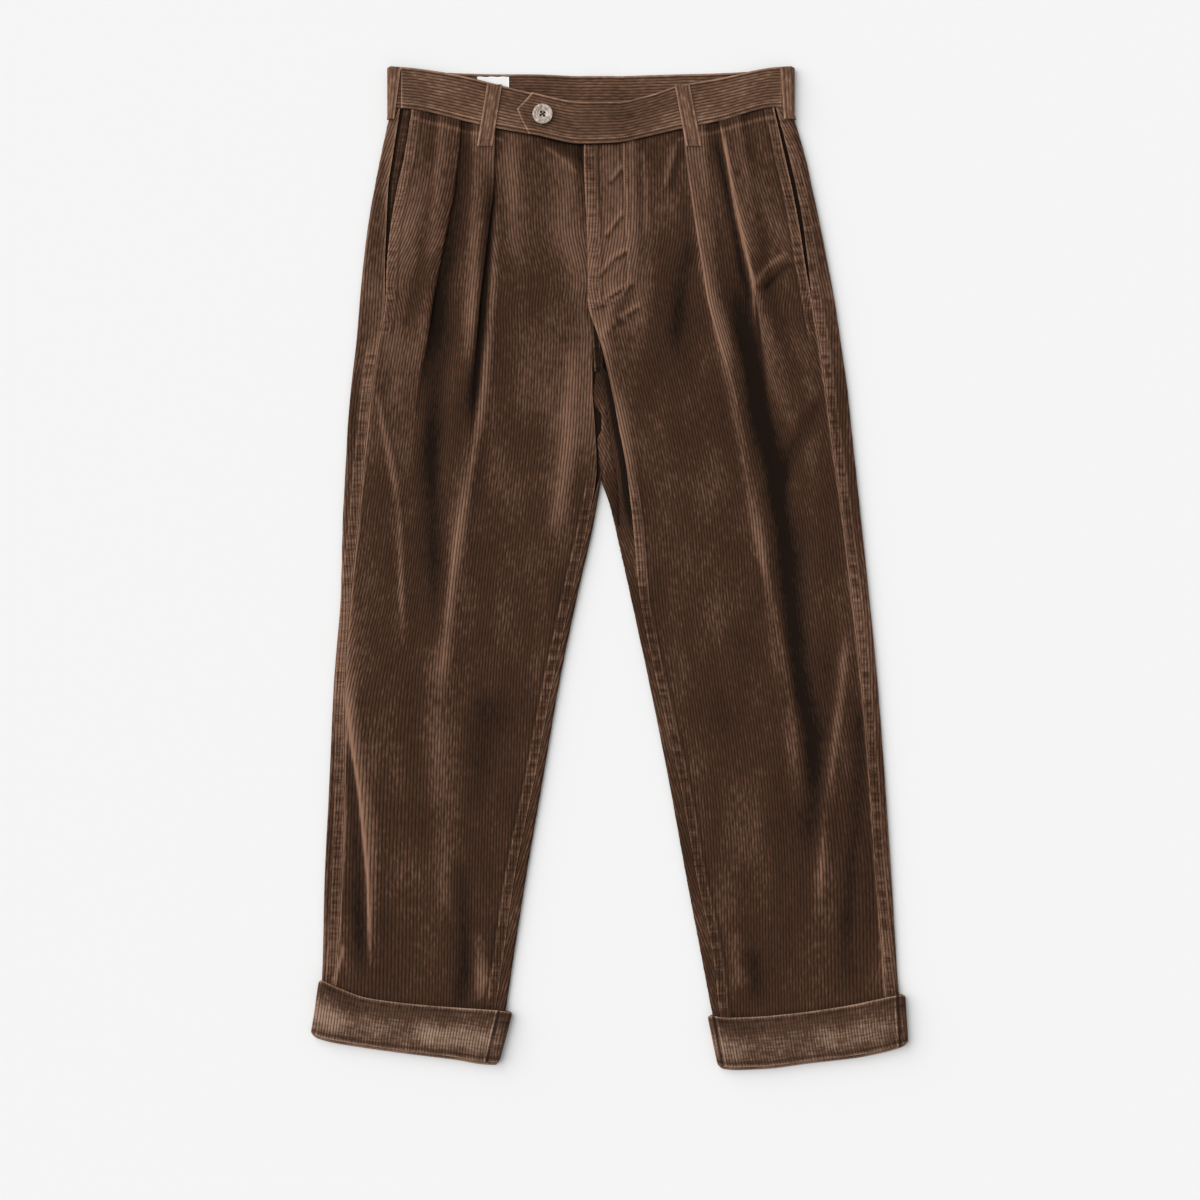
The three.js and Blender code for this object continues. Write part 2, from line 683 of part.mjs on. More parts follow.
const bandLeft = TAB.map(({ share, end }) => steps(20).map((u) => {
  const x = mix(BAND_JOIN.left - GAP, end, u);
  return bandPoint(x, share, tabLift(x));
}));
add('waistband_left', sheet(bandLeft, BAND), wornCorduroy);

const BACK_BAND_X = [-200, -120, -44, -30, -20, LOOP_BACK_X, 0, 10, 24, 100, 170];
const backBand = steps(3).map((v) => {
  const floor = BAND / 2;
  const end = (side, inward) => {
    const radius = (bandHeight(BAND_SIDE[side]) - floor) / 2;
    const centre = BAND_SIDE[side] + inward * (BAND / 2 + radius);
    const strip = [0, 0.5].map((share) => {
      const x = mix(BAND_JOIN[side], centre, share);
      return [x, bandHeight(x)];
    });
    const arc = steps(4).map((share) => {
      const angle = Math.PI * share;
      const x = centre - inward * radius * Math.sin(angle);
      return [x, floor + radius * (1 + Math.cos(angle))];
    });
    return [...strip, ...arc];
  };
  const middle = BACK_BAND_X.map((x) => [x, floor + LOOP_LIFT * overBackLoop(x, OVER_LOOP)]);
  const path = [...end('right', 1), ...middle, ...end('left', -1).reverse()];
  return path.map(([x, z]) => {
    const onTop = z > BAND_REST - 1;
    const upper = onTop ? waist.top(x) : waist.backTop(x);
    const lower = onTop ? waist.seam(x) : waist.backSeam(x);
    return [x, mix(upper, lower, v), z];
  });
});
const backBandGrid = backBand.map((row) => {
  const normals = sectionNormals(row.map(([x, y, z]) => [x, z]));
  return row.map(([x, y, z], i) => [x, y, z, normals[i][0], 0, normals[i][1]]);
});
add('waistband_back', wall(backBandGrid, BAND), wornCorduroy);

// Belt loops: folded strips, stitched to the band's upper edge and just below its seam
const LOOP_ARCH = { height: 0.9, share: 0.85 }; // how a loop stands off between its two ends
const LOOP_ROWS = [0, 0.12, 0.5, 0.8, 0.9, 1];
const FRONT_LOOPS = table(['side', 'topX', 'topY', 'lowX', 'lowY'], [
  ['right', -120.5, 506.5, -131, 441.5],
  ['left', 76, 505.5, 88, 441.5],
]);
for (const { side, topX, topY, lowX, lowY } of FRONT_LOOPS) {
  const leg = legs[side];
  const support = (x, y) => {
    const band = y > waist.seam(x) - 3 ? bandHeight(x) + BAND / 2 : 0;
    return Math.max(band, y < waist.seam(x) ? frontTop(leg, x, y) : 0);
  };
  const rows = LOOP_ROWS.map((v) => {
    const centre = mix(topX, lowX, v);
    const y = mix(topY, lowY, v);
    const across = [-0.5, 0, 0.5].map((u) => centre + u * LOOP_WIDTH);
    const under = Math.max(...across.map((x) => support(x, clamp(y, 0, waist.top(x)))));
    const arch = LOOP_ARCH.height * Math.sin(Math.PI * clamp(v / LOOP_ARCH.share, 0, 1));
    return across.map((x) => [x, y, under + GAP + CLOTH / 2 + arch]);
  });
  add(`belt_loop_front_${side}`, sheet(rows, CLOTH), wornCorduroy);
}

// Side loops, which wrap the band's folded side
const SIDE_LOOPS = table(['side', 'inward', 'topReach', 'lowReach'], [
  ['right', 1, 17, 9],
  ['left', -1, 17, 13],
]);
const SIDE_LOOP_ENDS = { top: 524.5, low: 470 };
const SIDE_LOOP_TURN = THREE.MathUtils.degToRad(210); // how far a side loop wraps round
for (const { side, inward, topReach, lowReach } of SIDE_LOOPS) {
  const radius = (bandHeight(BAND_SIDE[side]) - BAND / 2) / 2;
  const middle = BAND / 2 + radius;
  const outer = radius + (BAND + CLOTH) / 2 + GAP;
  const rows = steps(4).map((v) => {
    const reach = mix(topReach, lowReach, v);
    const y = mix(SIDE_LOOP_ENDS.top, SIDE_LOOP_ENDS.low, v);
    const shift = Math.max(0, (BAND_SIDE[side] - legs[side].edge(Math.min(y, 483))) * inward);
    const centre = BAND_SIDE[side] + inward * (middle - shift);
    const path = [0, 0.5].map((share) => {
      const x = mix(BAND_SIDE[side] + inward * reach, centre, share);
      return [x, bandHeight(BAND_SIDE[side]) + (BAND + CLOTH) / 2 + GAP];
    });
    steps(5).forEach((share) => {
      const angle = mix(Math.PI / 2, SIDE_LOOP_TURN, share);
      const x = centre + inward * outer * Math.cos(angle);
      path.push([x, middle + outer * Math.sin(angle)]);
    });
    const normals = sectionNormals(path);
    return path.map(([x, z], i) => [x, y, z, normals[i][0], 0, normals[i][1]]);
  });
  add(`belt_loop_side_${side}`, wall(rows, CLOTH), wornCorduroy);
}

const backLoop = steps(2).map((v) => [-0.5, 0, 0.5].map((u) => [
  LOOP_BACK_X + u * LOOP_WIDTH,
  mix(waist.backTop(LOOP_BACK_X) - 1, waist.backSeam(LOOP_BACK_X) + 1, v),
  CLOTH / 2,
]));
add('belt_loop_back', sheet(backLoop, CLOTH), wornCorduroy);

// Blank label inside the back band, partly behind the front band
const LABEL_BOX = { left: -139, right: -105.5, top: 515, bottom: 496 };
const label = steps(2).map((v) => steps(3).map((u) => [
  mix(LABEL_BOX.left, LABEL_BOX.right, u),
  mix(LABEL_BOX.top, LABEL_BOX.bottom, v),
  BAND + GAP + LABEL / 2,
]));
add('label_blank', sheet(label, LABEL), { color: 0xebeaea, roughness: 0.8, metalness: 0 });

// Button: a rimmed disc with four holes, on the tab
const BUTTON = { x: -70.1, y: 474.9, height: 3, rim: 2.2, dish: 0.9, hole: 1.1, spread: 2.1 };
const BUTTON_SIDES = 32;
const wasm = await Module();
wasm.setup();

function solid(geometry) {
  const bare = geometry.clone();
  bare.deleteAttribute('normal');
  bare.deleteAttribute('uv');
  const merged = mergeVertices(bare, 1e-4);
  return new wasm.Manifold(new wasm.Mesh({
    numProp: 3,
    vertProperties: new Float32Array(merged.attributes.position.array),
    triVerts: new Uint32Array(merged.index.array),
  }));
}

const buttonProfile = [
  [0, 0],
  [BUTTON_RADIUS - 1.2, 0],
  [BUTTON_RADIUS, 1.3],
  [BUTTON_RADIUS - 0.3, BUTTON.height - 0.4],
  [BUTTON_RADIUS - 1, BUTTON.height],
  [BUTTON_RADIUS - BUTTON.rim, BUTTON.height - 0.2],
  [BUTTON_RADIUS - BUTTON.rim - 1.2, BUTTON.height - BUTTON.dish],
  [0, BUTTON.height - BUTTON.dish],
].map(([r, z]) => new THREE.Vector2(r, z));
let disc = solid(new THREE.LatheGeometry(buttonProfile, BUTTON_SIDES).rotateX(Math.PI / 2));
for (const corner of [0, 1, 2, 3]) {
  const angle = (corner + 0.5) * (Math.PI / 2) + 0.2;
  const drill = new THREE.CylinderGeometry(BUTTON.hole, BUTTON.hole, BUTTON.height * 3, 10);
  drill.rotateX(Math.PI / 2);
  drill.translate(BUTTON.spread * Math.cos(angle), BUTTON.spread * Math.sin(angle), 0);
  disc = disc.subtract(solid(drill));
}
const cut = disc.getMesh();
const button = closed(Array.from(cut.vertProperties), Array.from(cut.triVerts));
const underButton = bandHeight(BUTTON.x) + tabLift(BUTTON.x) + BAND / 2;
button.translate(BUTTON.x, BUTTON.y, underButton + GAP);
add('waist_button', button, { color: 0xae9f94, roughness: 0.45, metalness: 0 });

export default group;
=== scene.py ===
import math
from types import SimpleNamespace

import bpy
import numpy as np
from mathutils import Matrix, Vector
from mathutils.bvhtree import BVHTree


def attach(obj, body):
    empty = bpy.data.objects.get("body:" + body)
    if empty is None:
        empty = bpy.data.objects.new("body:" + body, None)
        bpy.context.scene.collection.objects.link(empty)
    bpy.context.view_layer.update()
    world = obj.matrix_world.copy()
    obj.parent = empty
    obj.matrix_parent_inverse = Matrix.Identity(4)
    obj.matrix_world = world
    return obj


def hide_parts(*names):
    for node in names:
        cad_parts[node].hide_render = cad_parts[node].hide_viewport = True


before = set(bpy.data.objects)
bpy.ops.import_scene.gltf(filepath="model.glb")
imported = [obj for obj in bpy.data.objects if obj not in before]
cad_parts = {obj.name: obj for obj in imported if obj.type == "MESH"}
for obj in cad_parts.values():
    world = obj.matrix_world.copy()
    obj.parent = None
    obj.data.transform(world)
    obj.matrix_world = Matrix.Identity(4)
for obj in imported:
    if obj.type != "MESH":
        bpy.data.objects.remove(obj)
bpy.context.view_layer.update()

# Leg panels: two fronts with two forward pleats each and two backs that wrap round both edges.
# Cotton corduroy of eight wales to the inch, cut with the pile running down the leg and sewn
# along the outseam, inseam and seat seam; the pressed crease runs on from the inner pleat.
MM = 0.001
CLOTH = 1.4
GAP = 0.3
PLY = CLOTH + 0.35
REST = 3.4
TURNUP = 2.0
TURNUP_LIFT = TURNUP + GAP
HEM_RISE = 14
HEM_INSET = 3
WALE = 3.08
WALE_DEPTH = 0.5
WALE_AT = (0.0, 0.2, 0.5, 0.8)
WALE_PROFILE = (0.0, 0.8, 1.0, 0.8)


def table(names, rows):
    """Named columns of a table of sizes."""
    return SimpleNamespace(**dict(zip(names.split(), np.array(rows, float).T)))


RIGHT_LEG = table("y edge strip front outer_pleat inner_pleat closing inside", [
    (484, -229, -219, -207, -154, -118, -20, -8.1),
    (433, -240, -227, -215, -158, -120, -19, -8.1),
    (397, -247, -232, -223, -162, -121, -18, -8.1),
    (355, -254, -234, -230, -170, -126, -16, -8.1),
    (313, -259, -235.5, -234, -178, -131, -15, -8.1),
    (281, -262, -235.4, -235, -184, -135, -15, -8.1),
    (234, -266, -243.3, -243, -191, -139, -18, -8.1),
    (192, -271, -249, -249, -199, -142, -18, -8.1),
    (145, -275, -254, -254, -205, -145, -15, -8.1),
    (107, -277, -258, -258, -212, -149, -13.5, -8.1),
    (50, -280, -263, -263, -218, -156, -22, -16),
    (-26, -282, -271, -271, -224, -165, -39, -33),
    (-118, -289, -277, -277, -233, -174, -59, -52),
    (-223, -294, -278, -278, -236, -178, -79, -70),
    (-328, -299, -281, -281, -237, -181, -100, -88),
    (-412, -301, -286, -286, -238, -182, -112, -101),
    (-465, -303, -290, -290, -239, -183, -120, -109),
    (-519, -305, -294, -294, -240, -183, -130, -120),
])
LEFT_LEG = table("y edge strip front outer_pleat inner_pleat closing inside", [
    (484, 190, 174, 172, 111, 75, -27, -8),
    (433, 205, 187.5, 183.5, 121, 79, -27, -8),
    (397, 213, 196, 191.5, 128, 84, -26, -8),
    (355, 222, 203.5, 199.5, 137, 90, -24, -8),
    (313, 230, 208.5, 206, 146, 97, -23, -8),
    (281, 236, 212.4, 212, 153, 102, -23, -8),
    (234, 243, 220.4, 220, 160, 115, -9, -8),
    (192, 249, 226, 226, 166, 127, 1, -8),
    (145, 254, 232, 232, 174, 138, 10, -8),
    (107, 258, 237, 237, 180, 146, 17, -8),
    (50, 264, 245, 245, 190, 156, 24, 4),
    (-26, 272, 254, 254, 201, 162, 31, 21),
    (-118, 281, 264, 264, 213, 175, 49, 41),
    (-223, 289, 273, 273, 222, 190, 73, 62),
    (-328, 296, 280, 280, 226, 197, 92, 81),
    (-412, 301, 287, 287, 228, 198, 109, 97),
    (-465, 304, 291, 291, 229, 199, 115, 107),
    (-519, 304, 293, 293, 230, 200, 125, 118),
])
PLEAT = table("y turn radius depth ramp", [
    (484, 180, PLY / 2, 17, 9),
    (433, 180, PLY / 2, 15, 10),
    (355, 180, PLY / 2, 9, 14),
    (292, 180, PLY / 2, 0.5, 18),
    (240, 90, 2.2, 0.5, 24),
    (192, 50, 4.4, 0.5, 28),
    (107, 28, 8, 0.5, 30),
    (0, 18, 10, 1, 30),
    (-150, 9, 12, 1, 30),
    (-519, 3, 12, 1, 30),
])
CURL = table("y right_curl right_step left_curl left_step left_lap", [
    (484, 0, 0, 0, 3.2, 0),
    (234, 0, 0, 0, 3.2, 0),
    (192, 0, 0, 178, 3.2, 2),
    (145, 0, 0, 180, 3.2, 4),
    (107, 90, 0, 180, 3, 4),
    (50, 180, 0, 180, 2.4, 3),
    (-26, 180, 0, 180, 1.9, -GAP),
    (-90, 180, 0, 180, 0, -GAP),
    (-519, 180, 0, 180, 0, -GAP),
])
WAIST = table("x top seam back_top back_seam", [
    (-233, 526, 483, 525, 483),
    (-207, 524, 481, 522, 481),
    (-178, 520, 475, 520, 479),
    (-155, 516, 469, 519, 477),
    (-115, 506, 460, 518, 475),
    (-81, 498, 454, 518, 475),
    (-27, 488, 444, 516, 473),
    (6, 488, 445, 516, 473),
    (39, 495, 452, 517, 474),
    (74, 506, 460, 518, 475),
    (113, 513, 468, 519, 477),
    (176, 525, 483, 523, 481),
    (196, 526, 483, 525, 483),
])
RIGHT_TURNUP = table("share top_x top_y low_x low_y", [
    (0, -305, -430, -313, -488),
    (0.1, -285, -439, -292, -494),
    (0.25, -255, -450, -262, -499),
    (0.5, -203, -457, -212, -506),
    (0.75, -152, -461, -163, -512),
    (0.9, -121, -463, -133, -517),
    (1, -102, -465, -115, -518),
])
LEFT_TURNUP = table("share top_x top_y low_x low_y", [
    (0, 103, -468, 113, -521),
    (0.1, 124, -471, 132, -523),
    (0.25, 154, -470, 161, -522),
    (0.5, 206, -465, 210, -516),
    (0.75, 257, -457, 260, -510),
    (0.9, 289, -450, 290, -504),
    (1, 310, -446, 313, -497),
])
RIDGES = table("from_x from_y to_x to_y height width", [
    (-133, 240, -172, -120, 1.9, 11),
    (-247, 190, -222, -80, 2.1, 15),
    (-277, -140, -248, -440, 1.8, 11),
    (-60, 250, -70, -20, 1.7, 30),
    (-150, -140, -180, -430, 1.2, 24),
    (-190, 130, -200, -60, -1.0, 15),
    (102, 285, 158, 20, 1.8, 11),
    (170, -60, 206, -250, 1.9, 11),
    (249, -80, 220, -350, 2.0, 12),
    (55, 280, 90, -60, 1.4, 32),
    (128, -240, 132, -450, 1.3, 20),
    (-8, 235, 14, 110, 3.1, 12),
    (14, 130, 30, -10, 2.2, 12),
    (178, 140, 196, -20, -1.0, 13),
])
FLY = table("y from_x to_x", [
    (447, -24.5, 17),
    (380, -23.5, 18),
    (320, -21.5, 18.5),
    (297, -21, 14),
    (283, -20.5, 6),
    (272, -20, -4),
    (250, -18.5, -9.5),
    (206, -16, -11),
])
FLY_RISE = 3.2
OUTER_PLEAT_END = 90
TOP_ROW, FIRST_LEVEL, LAST_LEVEL = 484, 297, -375
RISE_ROW, TURNUP_ROW, LAST_ROW = -440, -450, -519
EDGE_PUFF = SimpleNamespace(height=1.3, reach=10)
INSIDE_PUFF = SimpleNamespace(height=1.3, reach=9, below=107, grows=40)
POCKET_PUFF = SimpleNamespace(height=1.6, reach=16, above=240, grows=60)
PRESSED = SimpleNamespace(share=0.8, below=34)
FLY_FALL = SimpleNamespace(past=4.5, length=13, above=180, grows=30)
COVERED = SimpleNamespace(start=-42, length=14, above=190, grows=30)


def mix(a, b, share):
    return a + (b - a) * share


def smooth(share):
    t = np.clip(share, 0, 1)
    return t * t * (3 - 2 * t)


def bell(off, width):
    """1 on a line and falling softly to 0 on both sides of it."""
    return np.exp(-(off / width) ** 2)


def lines(away, *rows):
    """Light and dark lines along an edge, each with its distance from it, width and tone."""
    return sum(tone * bell(away - at, width) for at, width, tone in rows)


def curve(keys, values):
    """A smooth line through one column of a table, read at any value of its key column."""
    order = np.argsort(keys)
    at, value = keys[order], values[order]
    step = np.diff(value) / np.diff(at)
    product = step[:-1] * step[1:]
    total = np.where(product > 0, step[:-1] + step[1:], 1)
    slope = np.concatenate([step[:1], np.where(product > 0, 2 * product / total, 0), step[-1:]])

    def read(t):
        x = np.clip(t, at[0], at[-1])
        i = np.clip(np.searchsorted(at, x, side="right") - 1, 0, len(at) - 2)
        span = at[i + 1] - at[i]
        u = (x - at[i]) / span
        rise = value[i + 1] - value[i]
        a, b = slope[i] * span, slope[i + 1] * span
        return value[i] + u * (a + u * (3 * rise - 2 * a - b + u * (a + b - 2 * rise)))

    return read


def curves(rows, key):
    """All other columns of a table as smooth lines over its key column."""
    columns = vars(rows)
    return {name: curve(columns[key], columns[name]) for name in columns if name != key}


waist, pleat, curl, fly = (
    SimpleNamespace(**curves(rows, key))
    for rows, key in ((WAIST, "x"), (PLEAT, "y"), (CURL, "y"), (FLY, "y")))


def turnup(rows):
    return SimpleNamespace(
        **curves(rows, "share"),
        upper=curve(rows.top_x, rows.top_y),
        lower=curve(rows.low_x, rows.low_y),
    )


legs = {
    "right": SimpleNamespace(
        side="right", inward=1, **curves(RIGHT_LEG, "y"), turnup=turnup(RIGHT_TURNUP),
        curl=curl.right_curl, step=curl.right_step, lap=lambda y: -GAP),
    "left": SimpleNamespace(
        side="left", inward=-1, **curves(LEFT_LEG, "y"), turnup=turnup(LEFT_TURNUP),
        curl=curl.left_curl, step=curl.left_step, lap=curl.left_lap),
}


def ridges(x, y):
    """Height that the broad ridges of the laid cloth add, each along a straight line."""
    total = 0
    for x0, y0, x1, y1, height, width in zip(*vars(RIDGES).values()):
        share = (y0 - y) / (y0 - y1)
        fade = smooth(share / 0.25 + 0.6) * smooth((1 - share) / 0.25 + 0.6)
        off = (x - mix(x0, x1, share)) / width
        total = total + height * fade * np.exp(-off * off)
    return total


# Softer folds of the laid cloth, each along a line through its points: height, the painted
# highlight (above zero) and painted shade (below zero) along it, and width
FOLDS = [
    (-0.5, -1.0, 11, [
        (-151, 439), (-165, 344), (-177, 281), (-185, 208), (-188, 124), (-184, 29), (-186, -76)]),
    (-0.4, -1.7, 6, [(-122, 412), (-130, 313), (-135, 260), (-139, 218), (-149, 145)]),
    (1.6, 0.75, 5, [(-118, 434), (-122, 313), (-131, 193), (-147, 92), (-163, -8), (-175, -128)]),
    (1.4, 0.45, 3, [(-245, 190), (-236, 144), (-225, 90), (-220, 40), (-218, -13), (-216, -76)]),
    (1.2, 0.5, 9, [(-36, 235), (-43, 152), (-49, 82), (-56, 29)]),
    (0.7, 1.3, 1.9, [(-277, -118), (-269, -188), (-262, -236), (-258, -275), (-253, -335), (-251, -425)]),
    (1.5, 0.4, 6, [(-272, -118), (-265, -188), (-257, -236), (-253, -275), (-248, -335), (-246, -425)]),
    (-0.6, -0.9, 8, [(-277, -181), (-270, -244), (-263, -328), (-262, -427)]),
    (1.2, 0.35, 16, [(-180, -76), (-178, -202), (-171, -375)]),
    (-0.4, -0.5, 16, [(-131, -128), (-136, -202), (-141, -265)]),
    (-0.4, -0.7, 10, [(-155, -307), (-151, -391), (-150, -454)]),
    (1.0, 0.5, 8, [(-138, -380), (-134, -454)]),
    (1.4, 0.45, 4.5, [(78, 438), (92, 346), (108, 266), (135, 145), (154, 40), (183, -97), (203, -275)]),
    (-0.6, -1.3, 13, [(120, 334), (148, 208), (174, 82), (184, 8), (198, -107), (211, -202), (203, -307)]),
    (1.4, 0.4, 5, [(116, 460), (124, 418), (134, 371), (145, 319), (153, 281), (155, 239)]),
    (0.4, 1.1, 1.9, [(117, 462), (123, 430), (130, 388), (141, 338), (150, 297), (153, 250)]),
    (-0.3, -1.0, 4.5, [(111, 455), (119, 418), (128, 371), (138, 319), (146, 281)]),
    (0.8, 0.7, 4, [(187, 331), (165, 315), (152, 295)]),
    (-0.3, -0.9, 5, [(191, 320), (174, 306), (161, 289)]),
    (0.4, 0.5, 2.5, [(34, 440), (38, 400), (39, 345)]),
    (0.4, 0.5, 3, [(68, 444), (62, 420), (57, 398)]),
    (-0.3, -0.6, 4, [(75, 440), (69, 418), (64, 392)]),
    (-0.3, -0.6, 8, [(84, 345), (76, 290), (66, 225)]),
    (0.4, 1.1, 1.9, [(-279, -395), (-282, -411), (-291, -437)]),
    (-0.4, -0.7, 10, [(223, 182), (208, 155), (190, 119), (177, 82)]),
    (1.6, 0.35, 5, [(248, -65), (242, -139), (228, -244), (223, -312), (219, -370)]),
    (-0.5, -0.8, 9, [(261, -139), (261, -223), (253, -317), (245, -412)]),
    (0.6, 0.5, 3.5, [(-70, 444), (-50, 429), (-33, 413)]),
    (-0.3, -0.5, 16, [(61, 365), (55, 281), (43, 208), (32, 124)]),
    (0.8, 0.5, 8, [(9, 176), (18, 117), (30, 40), (40, -34)]),
    (0.8, 0.3, 9, [(132, -380), (138, -443)]),
    (-0.4, -0.7, 10, [(150, -401), (155, -459)]),
]
# Broad lighter and darker areas as soft ovals, partly the nap lying unevenly and partly painted light and
# shade of the laid cloth; the three small dark ones just below the band by the fly are a painted shadow
# under it
PATCHES = table("x y wide high tone", [
    (-215, 386, 16, 94, 0.55),
    (-228, 239, 16, 57, 0.4),
    (-254, 145, 11, 139, 0.35),
    (-275, -128, 10, 126, 0.55),
    (-254, -186, 10, 94, 0.2),
    (-188, 103, 20, 44, -0.3),
    (-154, 171, 10, 57, -0.65),
    (-128, 166, 11, 53, 0.6),
    (-103, 407, 11, 63, 0.45),
    (-77, 271, 16, 94, -0.25),
    (-153, -18, 11, 48, 0.4),
    (-228, -39, 11, 53, -0.5),
    (-128, -55, 14, 50, -0.35),
    (-203, -212, 16, 94, -0.22),
    (-136, -294, 21, 35, -0.4),
    (-203, -375, 23, 48, -0.25),
    (-135, -430, 10, 18, 0.55),
    (-158, -448, 8, 18, -0.5),
    (-256, -414, 10, 32, -0.4),
    (-26, 292, 11, 101, 0.5),
    (-2, 269, 14, 40, 0.45),
    (24, 386, 11, 88, 0.35),
    (32, 297, 18, 38, 0.4),
    (64, 213, 21, 57, -0.55),
    (124, 402, 11, 50, -0.4),
    (124, 258, 11, 35, 0.45),
    (99, 216, 10, 25, 0.35),
    (150, 292, 14, 57, -0.3),
    (150, 155, 11, 53, -0.55),
    (175, 82, 13, 38, -0.5),
    (200, 313, 14, 57, -0.25),
    (200, 8, 15, 113, -0.35),
    (226, -55, 11, 189, -0.5),
    (137, -81, 21, 40, -0.35),
    (175, -265, 14, 82, -0.45),
    (205, -359, 18, 50, -0.4),
    (227, -286, 13, 57, -0.35),
    (276, -296, 11, 63, -0.45),
    (250, -414, 11, 25, -0.5),
    (124, -244, 10, 28, 0.25),
    (250, -170, 10, 69, 0.2),
    (-10, 365, 290, 189, 0.28),
    (-226, 397, 11, 76, 0.35),
    (-228, 119, 10, 38, 0.35),
    (3, 281, 50, 101, 0.25),
    (-279, -139, 10, 151, 0.4),
    (-254, -296, 11, 88, 0.4),
    (-102, 428, 11, 38, 0.2),
    (99, 418, 11, 38, 0.35),
    (-52, 92, 15, 50, 0.25),
    (200, -181, 13, 76, 0.2),
    (225, -328, 11, 63, 0.2),
    (150, 8, 10, 25, 0.2),
    (74, 250, 13, 76, -0.3),
    (150, 197, 11, 50, -0.3),
    (-178, 260, 10, 28, -0.3),
    (-58, 446, 14, 6, -0.9),
    (-43, 438, 12, 8, -1.0),
    (-31, 428, 7, 12, -1.0),
    (-203, -86, 13, 50, -0.15),
    (-140, -275, 18, 38, -0.15),
])
FOLD_LINES = []
for height, tone, width, points in FOLDS:
    at_x, at_y = np.array(points, float).T
    FOLD_LINES.append((height, tone, width, at_y[0], at_y[-1], curve(at_y, at_x)))


def folds(x, y):
    """Height, painted highlight and painted shade that the folds add at x and y, and their brightest painted
    crests.
    """
    rise, light, crest = 0, 0, 0 * x
    for height, tone, width, high, low, line in FOLD_LINES:
        share = (high - y) / (high - low)
        fade = smooth(share / 0.18 + 0.3) * smooth((1 - share) / 0.25 + 0.2)
        off = (x - line(y)) / width
        near = fade * np.exp(-off * off)
        rise = rise + height * near
        light = light + tone * near
        crest = np.maximum(crest, near * (tone > 1))
    return rise, light, crest


def patches(x, y):
    return sum(tone * np.exp(-((x - at_x) / wide) ** 2 - ((y - at_y) / high) ** 2)
               for at_x, at_y, wide, high, tone in zip(*vars(PATCHES).values()))


def line_distance(x, y, points):
    """How far x and y are from a line through these points."""
    nearest = 1e6
    for (x0, y0), (x1, y1) in zip(points, points[1:]):
        run = (x1 - x0, y1 - y0)
        share = np.clip(((x - x0) * run[0] + (y - y0) * run[1]) / (run[0] ** 2 + run[1] ** 2), 0, 1)
        nearest = np.minimum(nearest, np.hypot(x - x0 - share * run[0], y - y0 - share * run[1]))
    return nearest


def hem_lift(leg, x, y):
    return TURNUP_LIFT * smooth((leg.turnup.upper(x) + HEM_RISE + 1 - y) / HEM_RISE)


def upper_height(leg, x, y):
    """Middle of the upper layer of cloth above the floor."""
    edge = EDGE_PUFF.height * np.exp(-np.abs(x - leg.edge(y)) / EDGE_PUFF.reach)
    inside = smooth((INSIDE_PUFF.below - y) / INSIDE_PUFF.grows)
    inside = INSIDE_PUFF.height * (inside * np.exp(-np.abs(x - leg.inside(y)) / INSIDE_PUFF.reach))
    pocket = smooth((y - POCKET_PUFF.above) / POCKET_PUFF.grows)
    pocket = POCKET_PUFF.height * (pocket * bell(x - leg.front(y), POCKET_PUFF.reach))
    pressed = PRESSED.share * smooth((y - waist.seam(x) + PRESSED.below) / PRESSED.below)
    folded = (ridges(x, y) + folds(x, y)[0]) * (1 - pressed)
    return REST + edge + inside + pocket + folded + hem_lift(leg, x, y)


def front_height(leg, x, y):
    """The right front lies low beside the fly and the left front rides over its facing."""
    height = upper_height(leg, x, y)
    if leg.inward < 0:
        past = x - fly.to_x(y) - FLY_FALL.past
        above = smooth((y - FLY_FALL.above) / FLY_FALL.grows)
        return height + FLY_RISE * smooth(1 - past / FLY_FALL.length) * above
    covered = smooth((x - COVERED.start) / COVERED.length) * smooth((y - COVERED.above) / COVERED.grows)
    return mix(height, CLOTH * 1.5 + GAP, covered)


def front_section(leg, y):
    """The cloth's middle across a front panel: x, z, and the distance along it from the crease."""
    outer = leg.front(y)
    width = (leg.closing(y) - outer) * leg.inward
    radius, depth = pleat.radius(y), pleat.depth(y)
    runs_out = smooth((y - OUTER_PLEAT_END) / 150)
    w, h, start_at = [[0.0]], [[0.0]], 0.0
    for fold, open_at in ((leg.outer_pleat(y), runs_out), (leg.inner_pleat(y), 1)):
        turn = math.radians(pleat.turn(y)) * open_at
        drop = 2 * radius * (1 - math.cos(turn)) + depth * math.sin(turn)
        crest = min(turn, math.pi / 2)
        tip = (radius + CLOTH / 2) * math.sin(crest)
        angles = np.concatenate([np.linspace(0, crest, 6), np.linspace(crest, turn, 6)[1:]])
        start = (fold - outer) * leg.inward - tip
        end = start + 2 * radius * math.sin(turn) + depth * math.cos(turn)
        high = min(start, end) - radius - 1
        low = max(start_at + 2, high - pleat.ramp(y))
        run = np.concatenate([np.linspace(start_at, low, 30)[1:], np.linspace(low, high, 16)[1:]])
        crease = sum(len(part) for part in w) + len(run) + 5
        w += [run, start + radius * np.sin(angles), end - radius * np.sin(angles[::-1])]
        h += [drop * smooth((run - low) / (high - low)), drop - radius * (1 - np.cos(angles)),
              radius * (1 - np.cos(angles[::-1]))]
        start_at = end
    w.append(np.linspace(start_at, width, 60)[1:])
    h.append(0 * w[-1])
    x = outer + leg.inward * np.concatenate(w)
    z = np.concatenate(h) + front_height(leg, x, y)
    along = np.concatenate([[0], np.cumsum(np.hypot(np.diff(x), np.diff(z)))])
    return x, z, along - along[crease]


